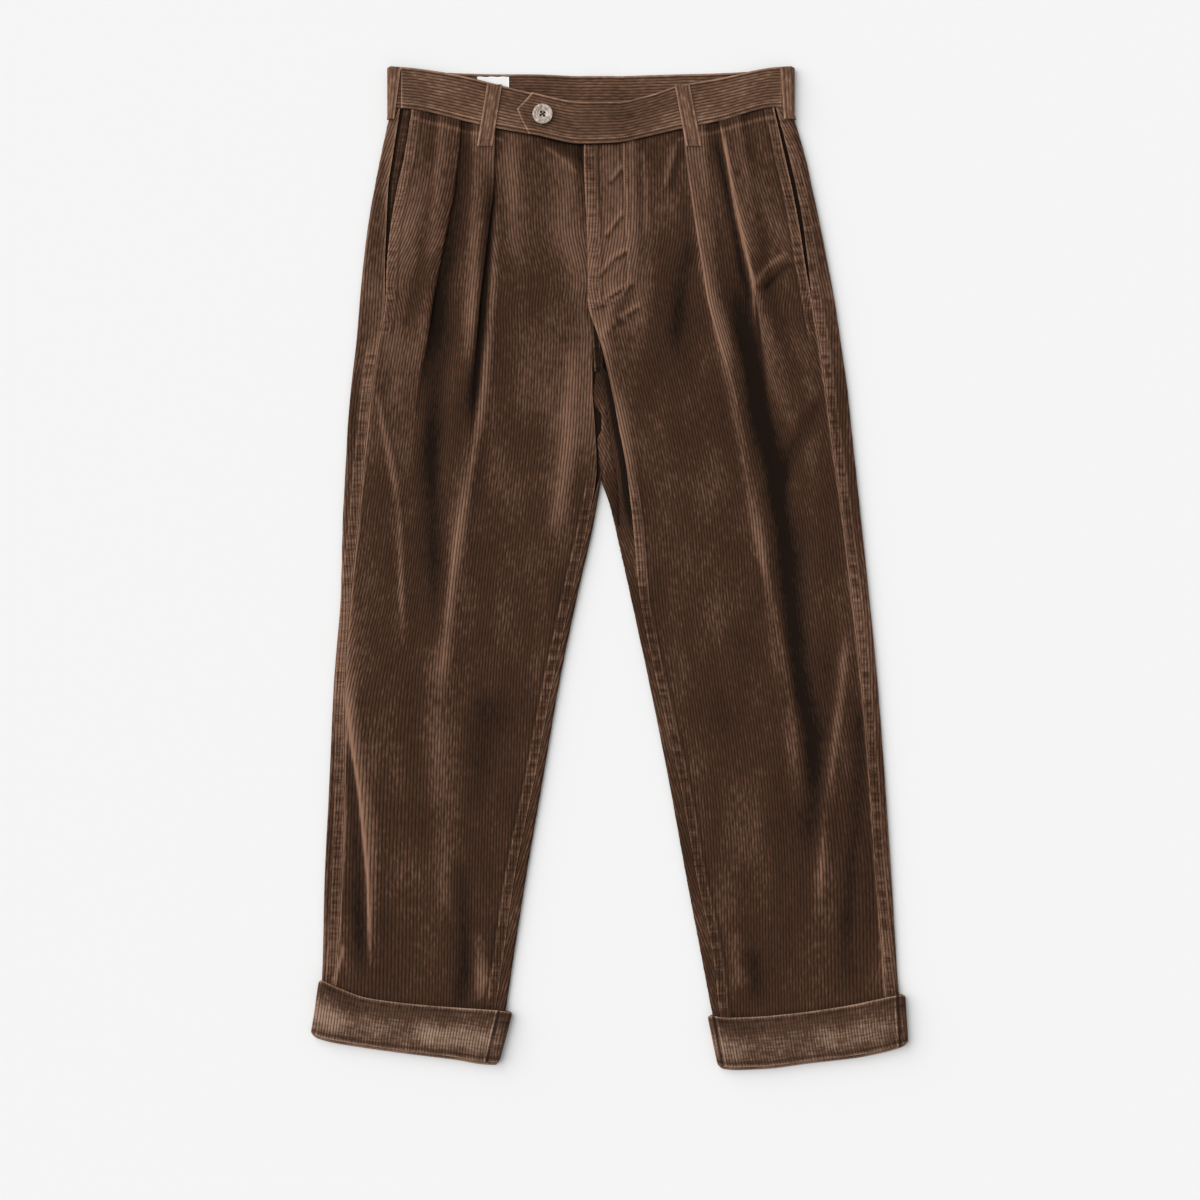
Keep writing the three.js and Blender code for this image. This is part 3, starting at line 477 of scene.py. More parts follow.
def back_section(leg, y):
    """The cloth's middle round a back panel: strip on the front, outer fold, floor, inner fold."""
    s, edge, inside = leg.inward, leg.edge(y), leg.inside(y)

    def under(x):
        return CLOTH / 2 + hem_lift(leg, x, y)

    def top(x):
        return upper_height(leg, x, y)

    floor = under(edge)
    outer_radius = (top(edge + s * 2.5) - floor) / 2
    outer_centre = edge + s * (CLOTH / 2 + outer_radius)
    end = s * min(s * leg.strip(y), s * leg.front(y) - GAP)
    x = [np.linspace(end, outer_centre, 12)[:-1]]
    z = [top(x[0])]
    angle = np.linspace(0, math.pi, 11)
    x.append(outer_centre - s * outer_radius * np.sin(angle))
    z.append(floor + outer_radius * (1 + np.cos(angle)))
    turn = math.radians(leg.curl(y))
    strip_top = top(inside - s * 2.5) - leg.step(y)
    inside_floor = under(inside)
    radius = max(0.9, (strip_top - inside_floor) / 2)
    bend = math.pi * radius
    reach = (inside - leg.closing(y)) * s + leg.lap(y) - CLOTH / 2 - radius
    strip = max(0.8, reach) if turn > 2 else 0.8
    bent = bend / turn if turn > 0.01 else 0
    tail_reach = bent + CLOTH / 2 if turn > math.pi / 2 else bend + strip
    tail = inside - s * (tail_reach if turn > 1 else bend + strip + CLOTH * 0.1)
    x.append(np.linspace(outer_centre, tail, 60)[1:])
    z.append(under(x[-1]))
    parts = 10
    angle = turn * (np.arange(parts) + 0.5) / parts
    piece = turn / (2 * parts)
    length = bend / parts * (math.sin(piece) / piece if piece > 0.001 else 1)
    angle = np.concatenate([angle, np.full(8, turn)])
    length = np.concatenate([np.full(parts, length), np.full(8, strip / 8)])
    tail_x = tail + s * np.cumsum(length * np.cos(angle))
    tail_z = inside_floor + np.cumsum(length * np.sin(angle))
    if turn > 3:
        tail_z[parts:] = top(tail_x[parts:]) - leg.step(y)
    x, z = np.concatenate(x + [tail_x]), np.concatenate(z + [tail_z])
    along = np.concatenate([[0], np.cumsum(np.hypot(np.diff(x), np.diff(z)))])
    on_floor = slice(21, 81)
    centre = np.interp(s * leg.inner_pleat(y), s * x[on_floor], along[on_floor])
    return x, z, along - centre


def cloth_table(section, low=-526, high=487, step=3.0, across=0.5):
    """Reads a panel's sections at any y and any distance across the cloth."""
    levels = np.arange(low, high + step, step)
    found = [section(float(y)) for y in levels]
    first = np.array([along[0] for x, z, along in found])
    last = np.array([along[-1] for x, z, along in found])
    at = np.arange(first.min(), last.max() + across, across)
    grid = np.array([[np.interp(at, along, x), np.interp(at, along, z)] for x, z, along in found])
    tangent = np.gradient(grid, axis=2)
    length = np.maximum(np.hypot(tangent[:, 0], tangent[:, 1]), 1e-9)
    normal = np.stack([-tangent[:, 1] / length, tangent[:, 0] / length], axis=1)
    grid = np.concatenate([grid, normal], axis=1).transpose(1, 0, 2)

    def ends(y):
        return np.interp(y, levels, first), np.interp(y, levels, last)

    def read(y, u):
        row = np.clip((y - levels[0]) / step, 0, len(levels) - 1.001)
        column = np.clip((u - at[0]) / across, 0, len(at) - 1.001)
        r, c = row.astype(int), column.astype(int)
        a, b = row - r, column - c
        return [(g[r, c] * (1 - b) + g[r, c + 1] * b) * (1 - a)
                + (g[r + 1, c] * (1 - b) + g[r + 1, c + 1] * b) * a for g in grid]

    width = last - first
    return SimpleNamespace(
        ends=ends, read=read, first=first.min(), last=last.max(), levels=levels, grid=grid,
        flat=(width.max() * MM, (high - low) * MM), area=width.mean() * (high - low) * MM * MM)


def row_height(row, x, seam, leg):
    """Where a row passes at x: upper rows follow the waist, lower ones the turn-up."""
    edge = leg.turnup.upper(x)
    end = leg.turnup.lower(x) + HEM_INSET
    rise = edge + HEM_RISE + 1
    waist_part = mix(FIRST_LEVEL, seam - GAP, (row - FIRST_LEVEL) / (TOP_ROW - FIRST_LEVEL))
    in_turnup = mix(edge, end, (TURNUP_ROW - row) / (TURNUP_ROW - LAST_ROW))
    low_part = mix(LAST_LEVEL, rise, (LAST_LEVEL - row) / (LAST_LEVEL - RISE_ROW))
    low_part = np.where(row < RISE_ROW, mix(rise, edge, (RISE_ROW - row) / (RISE_ROW - TURNUP_ROW)),
                        low_part)
    low_part = np.where(row < TURNUP_ROW, in_turnup, low_part)
    return np.where(row > FIRST_LEVEL, waist_part, np.where(row < LAST_LEVEL, low_part, row))


def wale_columns(first, last):
    """Places across the cloth at four columns a wale, with each one's height in the wale."""
    count = math.ceil((last - first) / WALE)
    start = math.floor(first / WALE)
    at = [(start + k + share) * WALE for k in range(count + 2) for share in WALE_AT]
    profile = list(WALE_PROFILE) * (count + 2)
    return np.array(at + [(start + count + 2) * WALE]), np.array(profile + [0.0])


def upward(x, sign=1.0):
    """A normal straight up, or down, at each of these points."""
    return np.array([0, 0, sign]) + 0 * np.stack([x] * 3, 2)


def cloth_mesh(name, middle, normal, half, depth, cloth, fields, clamp=None, wrap=False, both=False,
               inside=0.0):
    """A closed wall of cloth: wales on its outer face and a plain inner face, from middle points.

    depth is how far each outer point lies below the full wall; cloth holds each point's place
    in the flat cloth, in millimetres; clamp gives each row's first and last column; wrap joins
    each row's ends; both puts wales on both faces, and inside is the pile on a plain inner one.
    """
    rows, columns = middle.shape[:2]
    count = rows * columns
    lift = np.expand_dims(half - depth, 2)
    back = lift if both else np.expand_dims(np.broadcast_to(half, depth.shape), 2)
    stride = 1 if both else len(WALE_AT)
    points = np.concatenate([(middle + normal * lift).reshape(-1, 3),
                             (middle - normal * back).reshape(-1, 3)])
    column = np.broadcast_to(np.arange(columns), (rows, columns))
    if clamp is not None:
        column = np.clip(column, clamp[0][:, None], clamp[1][:, None])
    index = np.arange(rows)[:, None] * columns + column
    if wrap:
        index = np.concatenate([index, index[:, :1]], axis=1)
    inner = index[:, ::stride] + count

    def quads(*corners):
        a, b, c, d = [np.ravel(corner) for corner in corners]
        return [np.stack([a, b, c], 1), np.stack([a, c, d], 1)]

    faces = quads(index[:-1, :-1], index[:-1, 1:], index[1:, 1:], index[1:, :-1])
    faces += quads(inner[:-1, :-1], inner[1:, :-1], inner[1:, 1:], inner[:-1, 1:])
    for row, flip in ((0, 1), (-1, -1)):
        ends = [np.stack([index[row, k + 1::stride], index[row, k:-1:stride], inner[row, :-1]], 1)
                for k in range(stride)]
        ends.append(np.stack([index[row, stride::stride], inner[row, :-1], inner[row, 1:]], 1))
        faces += [triangle[:, ::flip] for triangle in ends]
    if not wrap:
        first, last = index[:, 0], index[:, -1]
        faces += quads(first[:-1] + count, first[1:] + count, first[1:], first[:-1])
        faces += quads(last[1:], last[1:] + count, last[:-1] + count, last[:-1])
    triangles = np.concatenate(faces)
    a, b, c = triangles.T
    triangles = triangles[(a != b) & (b != c) & (a != c)]
    used, triangles = np.unique(triangles, return_inverse=True)
    triangles = triangles.reshape(-1, 3)
    points = points[used]
    corner = points[triangles]
    if np.einsum("ij,ij->i", corner[:, 0], np.cross(corner[:, 1], corner[:, 2])).sum() < 0:
        triangles = triangles[:, ::-1]
    mesh = bpy.data.meshes.new(name)
    mesh.from_pydata((points * MM).tolist(), [], triangles.tolist())
    mesh.polygons.foreach_set("use_smooth", np.ones(len(triangles), bool))
    layer = mesh.attributes.new("cloth", "FLOAT_VECTOR", "POINT")
    flat = np.concatenate([cloth.reshape(-1, 2)] * 2)[used]
    layer.data.foreach_set("vector", np.c_[flat, np.zeros(len(flat))].astype(np.float32).ravel())
    for field, values in fields.items():
        within = np.full(count, inside) if field == "pile" and not both else values.ravel()
        layer = mesh.attributes.new(field, "FLOAT", "POINT")
        layer.data.foreach_set("value", np.concatenate([values.ravel(), within])[used].astype(np.float32))
    piece = bpy.data.objects.new(name, mesh)
    bpy.context.scene.collection.objects.link(piece)
    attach(piece, "root")
    return piece


def edge_round(distance, radius=0.8, least=0.35):
    """How much of the wall's half thickness is left near an edge, which rounds it."""
    t = 1 - np.clip(distance / radius, 0, 1)
    return least + (1 - least) * np.sqrt(1 - t * t)


# Cloth taken up in small folds on the outer side of each leg, which leans the wales there
TAKEN_UP = table("y right left", [
    (484, 0, 0),
    (330, 0, 0),
    (300, 2, 2),
    (250, 14, 14),
    (0, 9, 3),
    (-40, 5, 0),
    (-190, -15, -3),
    (-330, -16, -14),
    (-520, -16, -14),
])
TAKEN = curves(TAKEN_UP, "y")
LEAN_REACH, LEAN_ROOM = 90, 16


def blur(values, sigma):
    """Gaussian blur over both axes, sigma in cells for each."""
    for axis, cells in enumerate(sigma):
        reach = int(3 * cells)
        weight = np.exp(-0.5 * (np.arange(-reach, reach + 1) / cells) ** 2)
        values = np.apply_along_axis(np.convolve, axis, values, weight / weight.sum(), "same")
    return values


def relief_of(tables, cell=1.5, spread=9.0, half=336):
    """How far a point stands above or lies below the cloth around it, seen from above."""
    levels = tables[0].levels
    height = np.full((len(levels), int(2 * half / cell) + 1), -1.0)
    for cloth in tables:
        x, z = cloth.grid[:2]
        column = np.clip(np.rint((x + half) / cell).astype(int), 0, height.shape[1] - 1)
        for r in range(len(levels)):
            np.maximum.at(height[r], column[r], z[r])
    there = (height > 0).astype(float)
    size = (spread / (levels[1] - levels[0]), spread / cell)
    around = blur(height * there, size) / np.maximum(blur(there, size), 0.05)

    def read(x, y, z):
        r = np.clip(np.rint((y - levels[0]) / (levels[1] - levels[0])).astype(int), 0, len(levels) - 1)
        c = np.clip(np.rint((x + half) / cell).astype(int), 0, height.shape[1] - 1)
        return z - around[r, c]

    return read


SEAM_BAND = 9.5
FLY_BAND = 12.5
BAND_FROM = 236
ALLOWANCE = 10.5
FLY_STITCH = [(14.2, 444), (17.3, 389), (19.4, 334), (20.5, 303), (17.5, 292), (9.5, 284),
              (0.5, 279.5), (-10, 276.5), (-19.5, 275)]
# Lines where the fly puckers, painted as light and shade only
FLY_PUCKER_SHADING = [[(17, 334), (4, 327), (-9, 310)], [(23, 300), (6, 291), (-12, 277)],
               [(12, 420), (2, 408)], [(12, 372), (-2, 352)], [(30, 276), (8, 262), (-12, 240)]]


def bands_on_front(leg, x, y, from_outer, from_inner):
    """Stitched bands along a front's seams, with painted highlights and painted shade along its edges,
    seams, fly and waist seam.
    """
    # Painted highlight along the front's outer edge
    band, tone = 0 * x, 1.6 * bell(from_outer, 1.6)
    sewn = [(from_outer, SEAM_BAND, smooth((y - BAND_FROM) / 14)),
            (from_inner, SEAM_BAND, smooth((95 - y) / 20))]
    if leg.side == "left":
        sewn.append((from_inner, FLY_BAND, smooth((y - 262) / 14)))
        # Painted highlights on the fly's folded edge and its stitch line, and painted shade beside the
        # stitching
        tone = tone + 0.9 * bell(from_inner, 1.6) * smooth((y - 200) / 30)
        tone = tone + lines(line_distance(x, y, FLY_STITCH), (0, 1.3, 0.8), (3.2, 1.5, -0.45))
        # The fly's puckers painted only as light and shade: a highlight line with a shade line just below it
        for line in FLY_PUCKER_SHADING:
            tone = tone + 0.8 * bell(line_distance(x, y, line), 2.4)
            tone = tone - 0.7 * bell(line_distance(x, y + 5, line), 2.6)
    for away, width, on in sewn:
        band = np.maximum(band, smooth((width + 0.8 - away) / 1.6) * on)
        # Painted highlights on each seam's edge and its band's edge, and painted shade beside the band
        tone = tone + on * lines(away, (0, 1.1, 0.9), (width, 0.9, 0.75), (width + 2.6, 1.5, -0.5))
    # Painted highlight on the pressed allowance ridge below the waist seam, painted shade above it, and a
    # painted shadow along the seam under the band
    below = waist.seam(x) - y
    outside = smooth((np.abs(x + 20) - 88) / 8)
    allowance = lines(below, (ALLOWANCE, 2, 0.6), (5, 3, -0.4))
    return band, tone + allowance * outside - 0.8 * bell(below, 1.8)


def band_on_back(leg, x, y, away, in_sight):
    """The stitched band on a back's strip, with painted highlights on the strip's edges and outer fold and a
    painted shadow in the fork.
    """
    on = smooth((BAND_FROM + 6 - y) / 12) if leg.side == "right" else 1.0
    band = smooth((SEAM_BAND + 0.8 - away) / 1.6) * on
    tone = 0.8 * bell(away, 1.2) + 0.7 * bell(away - SEAM_BAND, 0.9) * on
    if leg.side == "left":
        # Painted shadow in the fork beside the front's closing edge
        fork_shadow = smooth(1.6 - np.abs(leg.closing(y) + 2 - x) / 7) * smooth((y - 20) / 60)
        tone = tone - 2.4 * fork_shadow * in_sight
    # Painted highlight on the outer folded rim, and the stitched band a little lighter
    return band, tone + 0.8 * bell(x - leg.edge(y), 1.8) + 0.3 * band


def panel(kind, leg, seam, rows, outside, lean):
    """One leg panel, its columns on the wales and its rows down the leg."""
    cloth = cloths[f"{kind}_{leg.side}"]
    columns, profile = wale_columns(cloth.first - lean * LEAN_ROOM, cloth.last)
    row = np.broadcast_to(rows[:, None], (len(rows), len(columns)))
    flat = np.broadcast_to(columns, row.shape)
    y = row.astype(float)
    for again in range(5):
        first, last = cloth.ends(y)
        u = flat + lean * TAKEN[leg.side](y) * smooth(-flat / LEAN_REACH)
        placed = np.clip(u, first, last)
        x, z, nx, nz = cloth.read(y, placed)
        if again < 4:
            y = row_height(row, x, seam(x, z), leg)
    count = u.shape[1]
    clamp = (np.maximum(np.argmax(u > first + GAP, axis=1) - 1, 0),
             np.minimum(count - np.argmax((u < last - GAP)[:, ::-1], axis=1), count - 1))
    number = np.arange(count)
    at_border = (number <= clamp[0][:, None]) | (number >= clamp[1][:, None])
    from_side = np.where(at_border, 0, np.minimum(placed - first, last - placed))
    full = edge_round(np.minimum(from_side, np.minimum(y[0] - y, y - y[-1])))
    in_sight = smooth((z - 0.9) / 0.5)
    _, light, crest = folds(x, y)
    if kind == "front":
        band, beside = bands_on_front(leg, x, y, placed - first, last - placed)
    else:
        band, beside = band_on_back(leg, x, y, placed - first, in_sight)
    # Painted light and shade: the folds' painted highlights and shade, the broad lighter and darker ovals,
    # painted shade in hollows and painted highlight on what stands up, and the painted lines along seams and
    # edges
    tone = (light + patches(x, y) + np.clip(0.27 * stands_out(x, y, z), -1.3, 0.6)) * in_sight + beside
    # Painted shade on the leg just above the turn-up
    tone = tone - 0.7 * bell(np.maximum(y - leg.turnup.upper(x), 0), 7)
    # Full pile colour along the borders and on the brightest painted highlight crests
    pile = np.maximum(profile, np.maximum(bell(from_side, 1.4), crest * in_sight))
    normal = np.stack([nx, np.zeros_like(nx), nz], 2) * outside
    middle = np.stack([x, y, z], 2) + normal * 0.5 * band[..., None]
    return cloth_mesh(
        f"{kind}_{leg.side}_cloth", middle, normal, CLOTH / 2 * full, WALE_DEPTH * (1 - profile) * full,
        np.stack([flat, y], 2), {"pile": pile, "tone": tone, "seam": band}, clamp)


HEM_ROWS = [-440, -445, -450, -470, -495, -519]
FRONT_ROWS = np.concatenate([[484, 483, 482], np.linspace(480, 456, 14), np.linspace(453, 265, 62),
                             np.linspace(258, -436, 112), HEM_ROWS])
BACK_ROWS = np.concatenate([[484, 483], np.linspace(480, -436, 120), HEM_ROWS])


def front_seam(x, z):
    return waist.seam(x)


def back_seam(x, z):
    return np.where(z < REST, waist.back_seam(x) - 1, waist.seam(x))


cloths = {}
for side, leg in legs.items():
    cloths[f"front_{side}"] = cloth_table(lambda y: front_section(leg, y))
    cloths[f"back_{side}"] = cloth_table(lambda y: back_section(leg, y))
stands_out = relief_of(list(cloths.values()))

panels = {}
for side, leg in legs.items():
    panels[f"front_{side}"] = panel("front", leg, front_seam, FRONT_ROWS, leg.inward, 1)
    panels[f"back_{side}"] = panel("back", leg, back_seam, BACK_ROWS, -leg.inward, 0)


def srgb(code):
    """A colour such as 4b372a as it's seen, in the linear values that a shader takes."""
    parts = [int(code[i:i + 2], 16) / 255 for i in (0, 2, 4)]
    return [p / 12.92 if p <= 0.04045 else ((p + 0.055) / 1.055) ** 2.4 for p in parts] + [1.0]


def node(tree, kind, settings=(), inputs=(), links=(), stops=()):
    """Adds a node of that kind, sets it and its inputs, links others' outputs to it, and gives a
    colour ramp its stops as place and colour."""
    made = tree.nodes.new(f"ShaderNode{kind}")
    for key, value in dict(settings).items():
        setattr(made, key, value)
    for key, value in dict(inputs).items():
        made.inputs[key].default_value = value
    for key, output in dict(links).items():
        tree.links.new(output, made.inputs[key])
    for number, (place, colour) in enumerate(stops):
        bar = made.color_ramp.elements
        element = bar[number] if number < len(bar) else bar.new(place)
        element.position = place
        element.color = srgb(colour)
    return made


def material(name, **shader):
    """A new material, its node tree and its shader, with these constants on the shader."""
    made = bpy.data.materials.new(name)
    made.use_nodes = True
    principled = made.node_tree.nodes["Principled BSDF"]
    for key, value in shader.items():
        principled.inputs[key.replace("_", " ").title().replace("Ior", "IOR")].default_value = value
    return made, made.node_tree, principled


# Unevenness of the pile, as noise on the cloth's own millimetres: its scale across and along the
# wales, its detail, and the part of its range that is stretched to run from -1 to 1
UNEVEN = {
    # The pile wears along each wale in dashes of about 8 mm
    "flecks": ((0.45, 0.11, 1), 3.0, None),
    # The nap lies a little differently over patches of about 60 mm
    "clouds": ((0.022, 0.009, 1), 2.0, None),
    # A stitched seam puckers about once in 5 mm
    "puckers": ((0.03, 0.2, 1), 1.0, (0.25, 0.75)),
    # A turned-up hem is creased across its wales about every 3 mm
    "creases": ((0.05, 0.5, 1), 1.0, (0.4, 0.6)),
}


def corduroy(name, dark, middle, light, groove, wear=1.0, creased=0.0):
    """Cotton corduroy: brushed pile on each wale, worn unevenly, over a dark ground weave.

    wear is how uneven the pile looks, and creased how far creases across the wales show.
    """
    made, tree, principled = material(
        name, roughness=0.95, sheen_weight=0.06, sheen_roughness=0.6, sheen_tint=srgb("c08c68"),
        specular_ior_level=0.15)
    place = node(tree, "Attribute", {"attribute_name": "cloth"}).outputs["Vector"]
    pile, tone, seam = (node(tree, "Attribute", {"attribute_name": field}).outputs["Fac"]
                        for field in ("pile", "tone", "seam"))
    noise = {}
    for pattern, (scale, detail, part) in UNEVEN.items():
        if pattern == "creases" and not creased:
            continue
        stretched = node(tree, "Mapping", inputs={"Scale": scale}, links={"Vector": place})
        noise[pattern] = node(tree, "TexNoise", {"noise_dimensions": "2D"}, {"Scale": 1.0, "Detail": detail},
                              {"Vector": stretched.outputs["Vector"]}).outputs["Fac"]
        if part:
            noise[pattern] = node(tree, "MapRange", inputs={1: part[0], 2: part[1], 3: -1.0, 4: 1.0},
                                  links={0: noise[pattern]}).outputs[0]
    pucker = node(tree, "Math", {"operation": "MULTIPLY"}, links={0: noise["puckers"], 1: seam}).outputs[0]
    # tone brings the painted highlights and shade, and the pucker noise paints light and shade on the seams'
    # puckers, beside the pile's own flecks and clouds
    weights = [(noise["flecks"], 0.42 * wear), (noise["clouds"], 0.42 * wear), (tone, 0.3), (pucker, 0.11)]
    if creased:
        weights.append((noise["creases"], creased))
    level = None
    for source, weight in weights:
        level = node(tree, "Math", {"operation": "MULTIPLY_ADD"}, {1: weight, 2: 0.5 - 0.42 * wear},
                     {0: source} if level is None else {0: source, 2: level}).outputs[0]
    cloth = node(tree, "ValToRGB", links={"Fac": level}, stops=((0.1, dark), (0.5, middle), (0.9, light)))
    ground = node(tree, "MixRGB", {"blend_type": "MIX"}, {"Color1": srgb(groove)},
                  {"Color2": cloth.outputs["Color"], "Fac": pile})
    tree.links.new(ground.outputs["Color"], principled.inputs["Base Color"])
    bump = node(tree, "Bump", inputs={"Strength": 1.0, "Distance": 0.0007}, links={"Height": pucker})
    tree.links.new(bump.outputs["Normal"], principled.inputs["Normal"])
    return made


# Brown corduroy, its pile brushed up; its palest colour goes where highlights are painted on folds, edges
# and seams, and its darkest where shade is painted
CORDUROY = corduroy("brown corduroy", "170c05", "4b3223", "94705b", "1c110a")
for name, piece in panels.items():
    piece.data.materials.append(CORDUROY)
    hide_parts(name)
    under = ["floor"] if name.startswith("back") else [name.replace("front", "back") + "_cloth"]

# Turn-ups: the hem of each leg turned up once to the outside, a tube of double cloth round the
# leg; its wales run on down the leg and wear has paled its lower half.
BACK_SHOWS = 4.0
CORNER = 6
DEEP = 56
WORN_PALE = {"right": 1.25, "left": 0.65}
TURNUP_SEAMS = {"right": (13,), "left": (5, 8)}


def turnup_ring(leg, v):
    """The middle of a turn-up's wall at level v, all round: front, inner side, back, outer side."""
    bottom = TURNUP / 2
    hem = leg.turnup

    def height(u):
        x, y = mix(hem.top_x(u), hem.low_x(u), v), mix(hem.top_y(u), hem.low_y(u), v)
        return upper_height(leg, x, y - 6) + (CLOTH + TURNUP) / 2 + GAP + 0.5

    ends = [(height(u) - bottom) / 2 for u in (0.0, 1.0)]
    low = mix(hem.top_x(0.0), hem.low_x(0.0), v) + TURNUP / 2 + ends[0]
    high = mix(hem.top_x(1.0), hem.low_x(1.0), v) - TURNUP / 2 - ends[1]

    def place(u):
        return np.clip(mix(hem.top_x(u), hem.low_x(u), v), low, high), mix(
            hem.top_y(u), hem.low_y(u), v)

    def side(u, sign):
        share = np.linspace(0, 1, 14)[1:-1]
        x, y = place(u)
        radius = (height(u) - bottom) / 2
        down = BACK_SHOWS * v * (share if sign > 0 else 1 - share)
        angle = math.pi * share
        return np.stack([x + sign * radius * np.sin(angle), y - down,
                         bottom + radius * (1 + sign * np.cos(angle))], 1)

    u = np.linspace(0.02, 0.98, 60)
    x, y = place(u)
    front = np.stack([x, y, height(u)], 1)
    back = np.stack([x, y - BACK_SHOWS * v, np.full(60, bottom)], 1)[::-1]
    ring = np.concatenate([front, side(0.98, 1), back, side(0.02, -1)])
    from_end = np.minimum(ring[:, 0] - ring[:, 0].min(), ring[:, 0].max() - ring[:, 0])
    corner = CORNER - np.sqrt(CORNER ** 2 - np.clip(CORNER - from_end, 0, CORNER) ** 2)
    ring[:, 1] += corner * (0.8 * v ** 3 - 0.35 * (1 - v) ** 3)
    return ring


def turnup_piece(side, leg):
    levels = np.array([0, 0.008, 0.022, 0.045, *np.linspace(0.08, 0.92, 17), 0.955, 0.978, 0.992, 1])
    rings = [turnup_ring(leg, v) for v in levels]
    around = []
    for ring in rings:
        closed = np.concatenate([ring, ring[:1]])
        around.append(np.concatenate([[0], np.cumsum(np.linalg.norm(np.diff(closed, axis=0), axis=1))]))
    girth = np.mean([along[-1] for along in around])
    wales = round(girth / WALE)
    share = np.array([(k + part) / wales for k in range(wales) for part in WALE_AT])
    middle = []
    for ring, along in zip(rings, around):
        closed = np.concatenate([ring, ring[:1]])
        middle.append(np.stack([np.interp(share * along[-1], along, closed[:, i]) for i in range(3)], 1))
    middle = np.array(middle)
    run = np.roll(middle, -2, axis=1) - np.roll(middle, 2, axis=1)
    normal = np.stack([-run[..., 2], 0 * run[..., 0], run[..., 0]], 2)
    normal /= np.linalg.norm(normal, axis=2, keepdims=True)
    fall = np.broadcast_to((levels * DEEP)[:, None], middle.shape[:2])
    full = edge_round(np.minimum(fall, DEEP - fall), 1.0, 0.15)
    profile = np.broadcast_to(np.tile(WALE_PROFILE, wales), fall.shape)
    x, z = middle[..., 0], middle[..., 2]
    across = np.broadcast_to(share * girth, fall.shape)
    sway = 0.55 + 0.3 * np.sin(across / 21 + 1.1) + 0.25 * np.sin(across / 9 + 0.4)
    near_rim = bell(fall, 1.7) + bell(DEEP - fall, 1.7)
    # Wear pales a band across the lower half, and painted highlights run along both folded rims
    tone = WORN_PALE[side] * bell(fall - 34, 13) * sway + 0.9 * near_rim
    # Painted shade just inside both rims and below the top, and painted light on the under layer's lower
    # lip, which lies in shadow
    tone = tone + lines(fall, (4, 1.6, -0.6), (11, 8, -0.45), (DEEP - 4.5, 1.5, -0.7))
    tone = tone + 0.2 * smooth((fall - DEEP + 7) / 4) * (z < TURNUP)
    # Dark seam lines near the ends, each with a painted highlight beside it
    ends = (x.max(axis=1), x.min(axis=1))[::leg.inward]
    for end, away in zip(ends, TURNUP_SEAMS[side]):
        tone = tone + lines(np.abs(x - end[:, None]) - away, (0, 1.1, -1.8), (2.4, 1.1, 0.9))
    piece = cloth_mesh(
        f"turnup_{side}_cloth", middle, normal, TURNUP / 2 * full, 0.4 * (1 - profile) * full,
        np.stack([across, fall], 2), {"pile": np.maximum(profile, near_rim), "tone": tone},
        wrap=True, inside=0.9)
    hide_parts(f"turnup_{side}")
    return piece


# The same cloth washed and rubbed pale, and creased across where it is turned
WORN = corduroy("turned-up corduroy", "24160f", "5e4434", "aa8c77", "33221a", 1.2, 0.06)
for side, leg in legs.items():
    piece = turnup_piece(side, leg)
    piece.data.materials.append(WORN)
    panels[f"turnup_{side}"] = piece

# Waistband: corduroy cut with its wales along the band and folded over a facing. The left front
# piece runs on into a pointed tab over the right one; the back piece wraps round both sides.
BAND = 2.8
BAND_REST = 5.4
BAND_WALES = 14
BAND_SIDE = {"right": -231.5, "left": 192.5}
BAND_JOIN = {"right": -219, "left": 181}
RIGHT_END = -22
LOOP_BACK_X = -10
LOOP_LIFT = CLOTH + GAP
TAB = table("share end", [(0, -81), (0.25, -89), (0.47, -97), (0.75, -91), (1, -84.5)])


def band_height(x):
    from_side = np.minimum(x - BAND_SIDE["right"], BAND_SIDE["left"] - x)
    over_back_loop = smooth((34 - np.abs(x - LOOP_BACK_X)) / 24)
    return BAND_REST + 0.9 * np.exp(-from_side / 12) + 1.5 * over_back_loop


def tab_lift(x):
    return (BAND + GAP * 2) * smooth((38 - x) / 36)


def band_piece(name, x, y, z, normal, along, both=False, end_highlight=0.0):
    """A band from its middle points: rows along it, columns across its wales."""
    share = np.linspace(0, 1, x.shape[1])
    height = np.hypot(y[:, 0] - y[:, -1], x[:, 0] - x[:, -1])[:, None]
    down, up = share * height, (1 - share) * height
    from_end = np.minimum(along - along[0], along[-1] - along)
    full = edge_round(np.minimum(np.minimum(down, up), from_end), 1.3, 0.2)
    profile = np.broadcast_to(np.append(np.tile(WALE_PROFILE, BAND_WALES), 0), x.shape)
    # Painted highlights along the folded top edge, the seam edge and the ends, with painted shade just
    # inside the edges
    tone = lines(down, (0, 1.3, 1.3), (3.4, 1.3, -0.6)) + end_highlight * bell(from_end, 1.3)
    tone = tone + lines(up, (0, 1.1, 0.7), (3.2, 1.1, -0.4), (5.6, 1.3, 0.7))
    return cloth_mesh(
        name, np.stack([x, y, z], 2), normal, BAND / 2 * full, 0.4 * (1 - profile) * full,
        np.stack([down + 0 * x, along], 2),
        {"pile": np.maximum(profile, 0.9 * bell(from_end, 1.4)), "tone": tone + 0 * x}, both=both)


def front_band(name, join, end, lift):
    """A front band from its side join to a straight end, or to the tab's point where end is None."""
    share = np.linspace(0, 1, BAND_WALES * len(WALE_AT) + 1)
    reach = np.interp(share, TAB.share, TAB.end) if end is None else np.full(len(share), end)
    length = abs(reach.mean() - join)
    near_end = np.array([0, 0.5, 1.2]) / length
    t = np.concatenate([near_end, np.linspace(3, length - 3, round(length / 3.5)) / length,
                        1 - near_end[::-1]])
    x = join + (reach - join) * t[:, None]
    y = mix(waist.top(x), waist.seam(x), share)
    z = band_height(x) + lift(x)
    return band_piece(name, x, y, z, upward(x), np.abs(x - join), end_highlight=1.4)


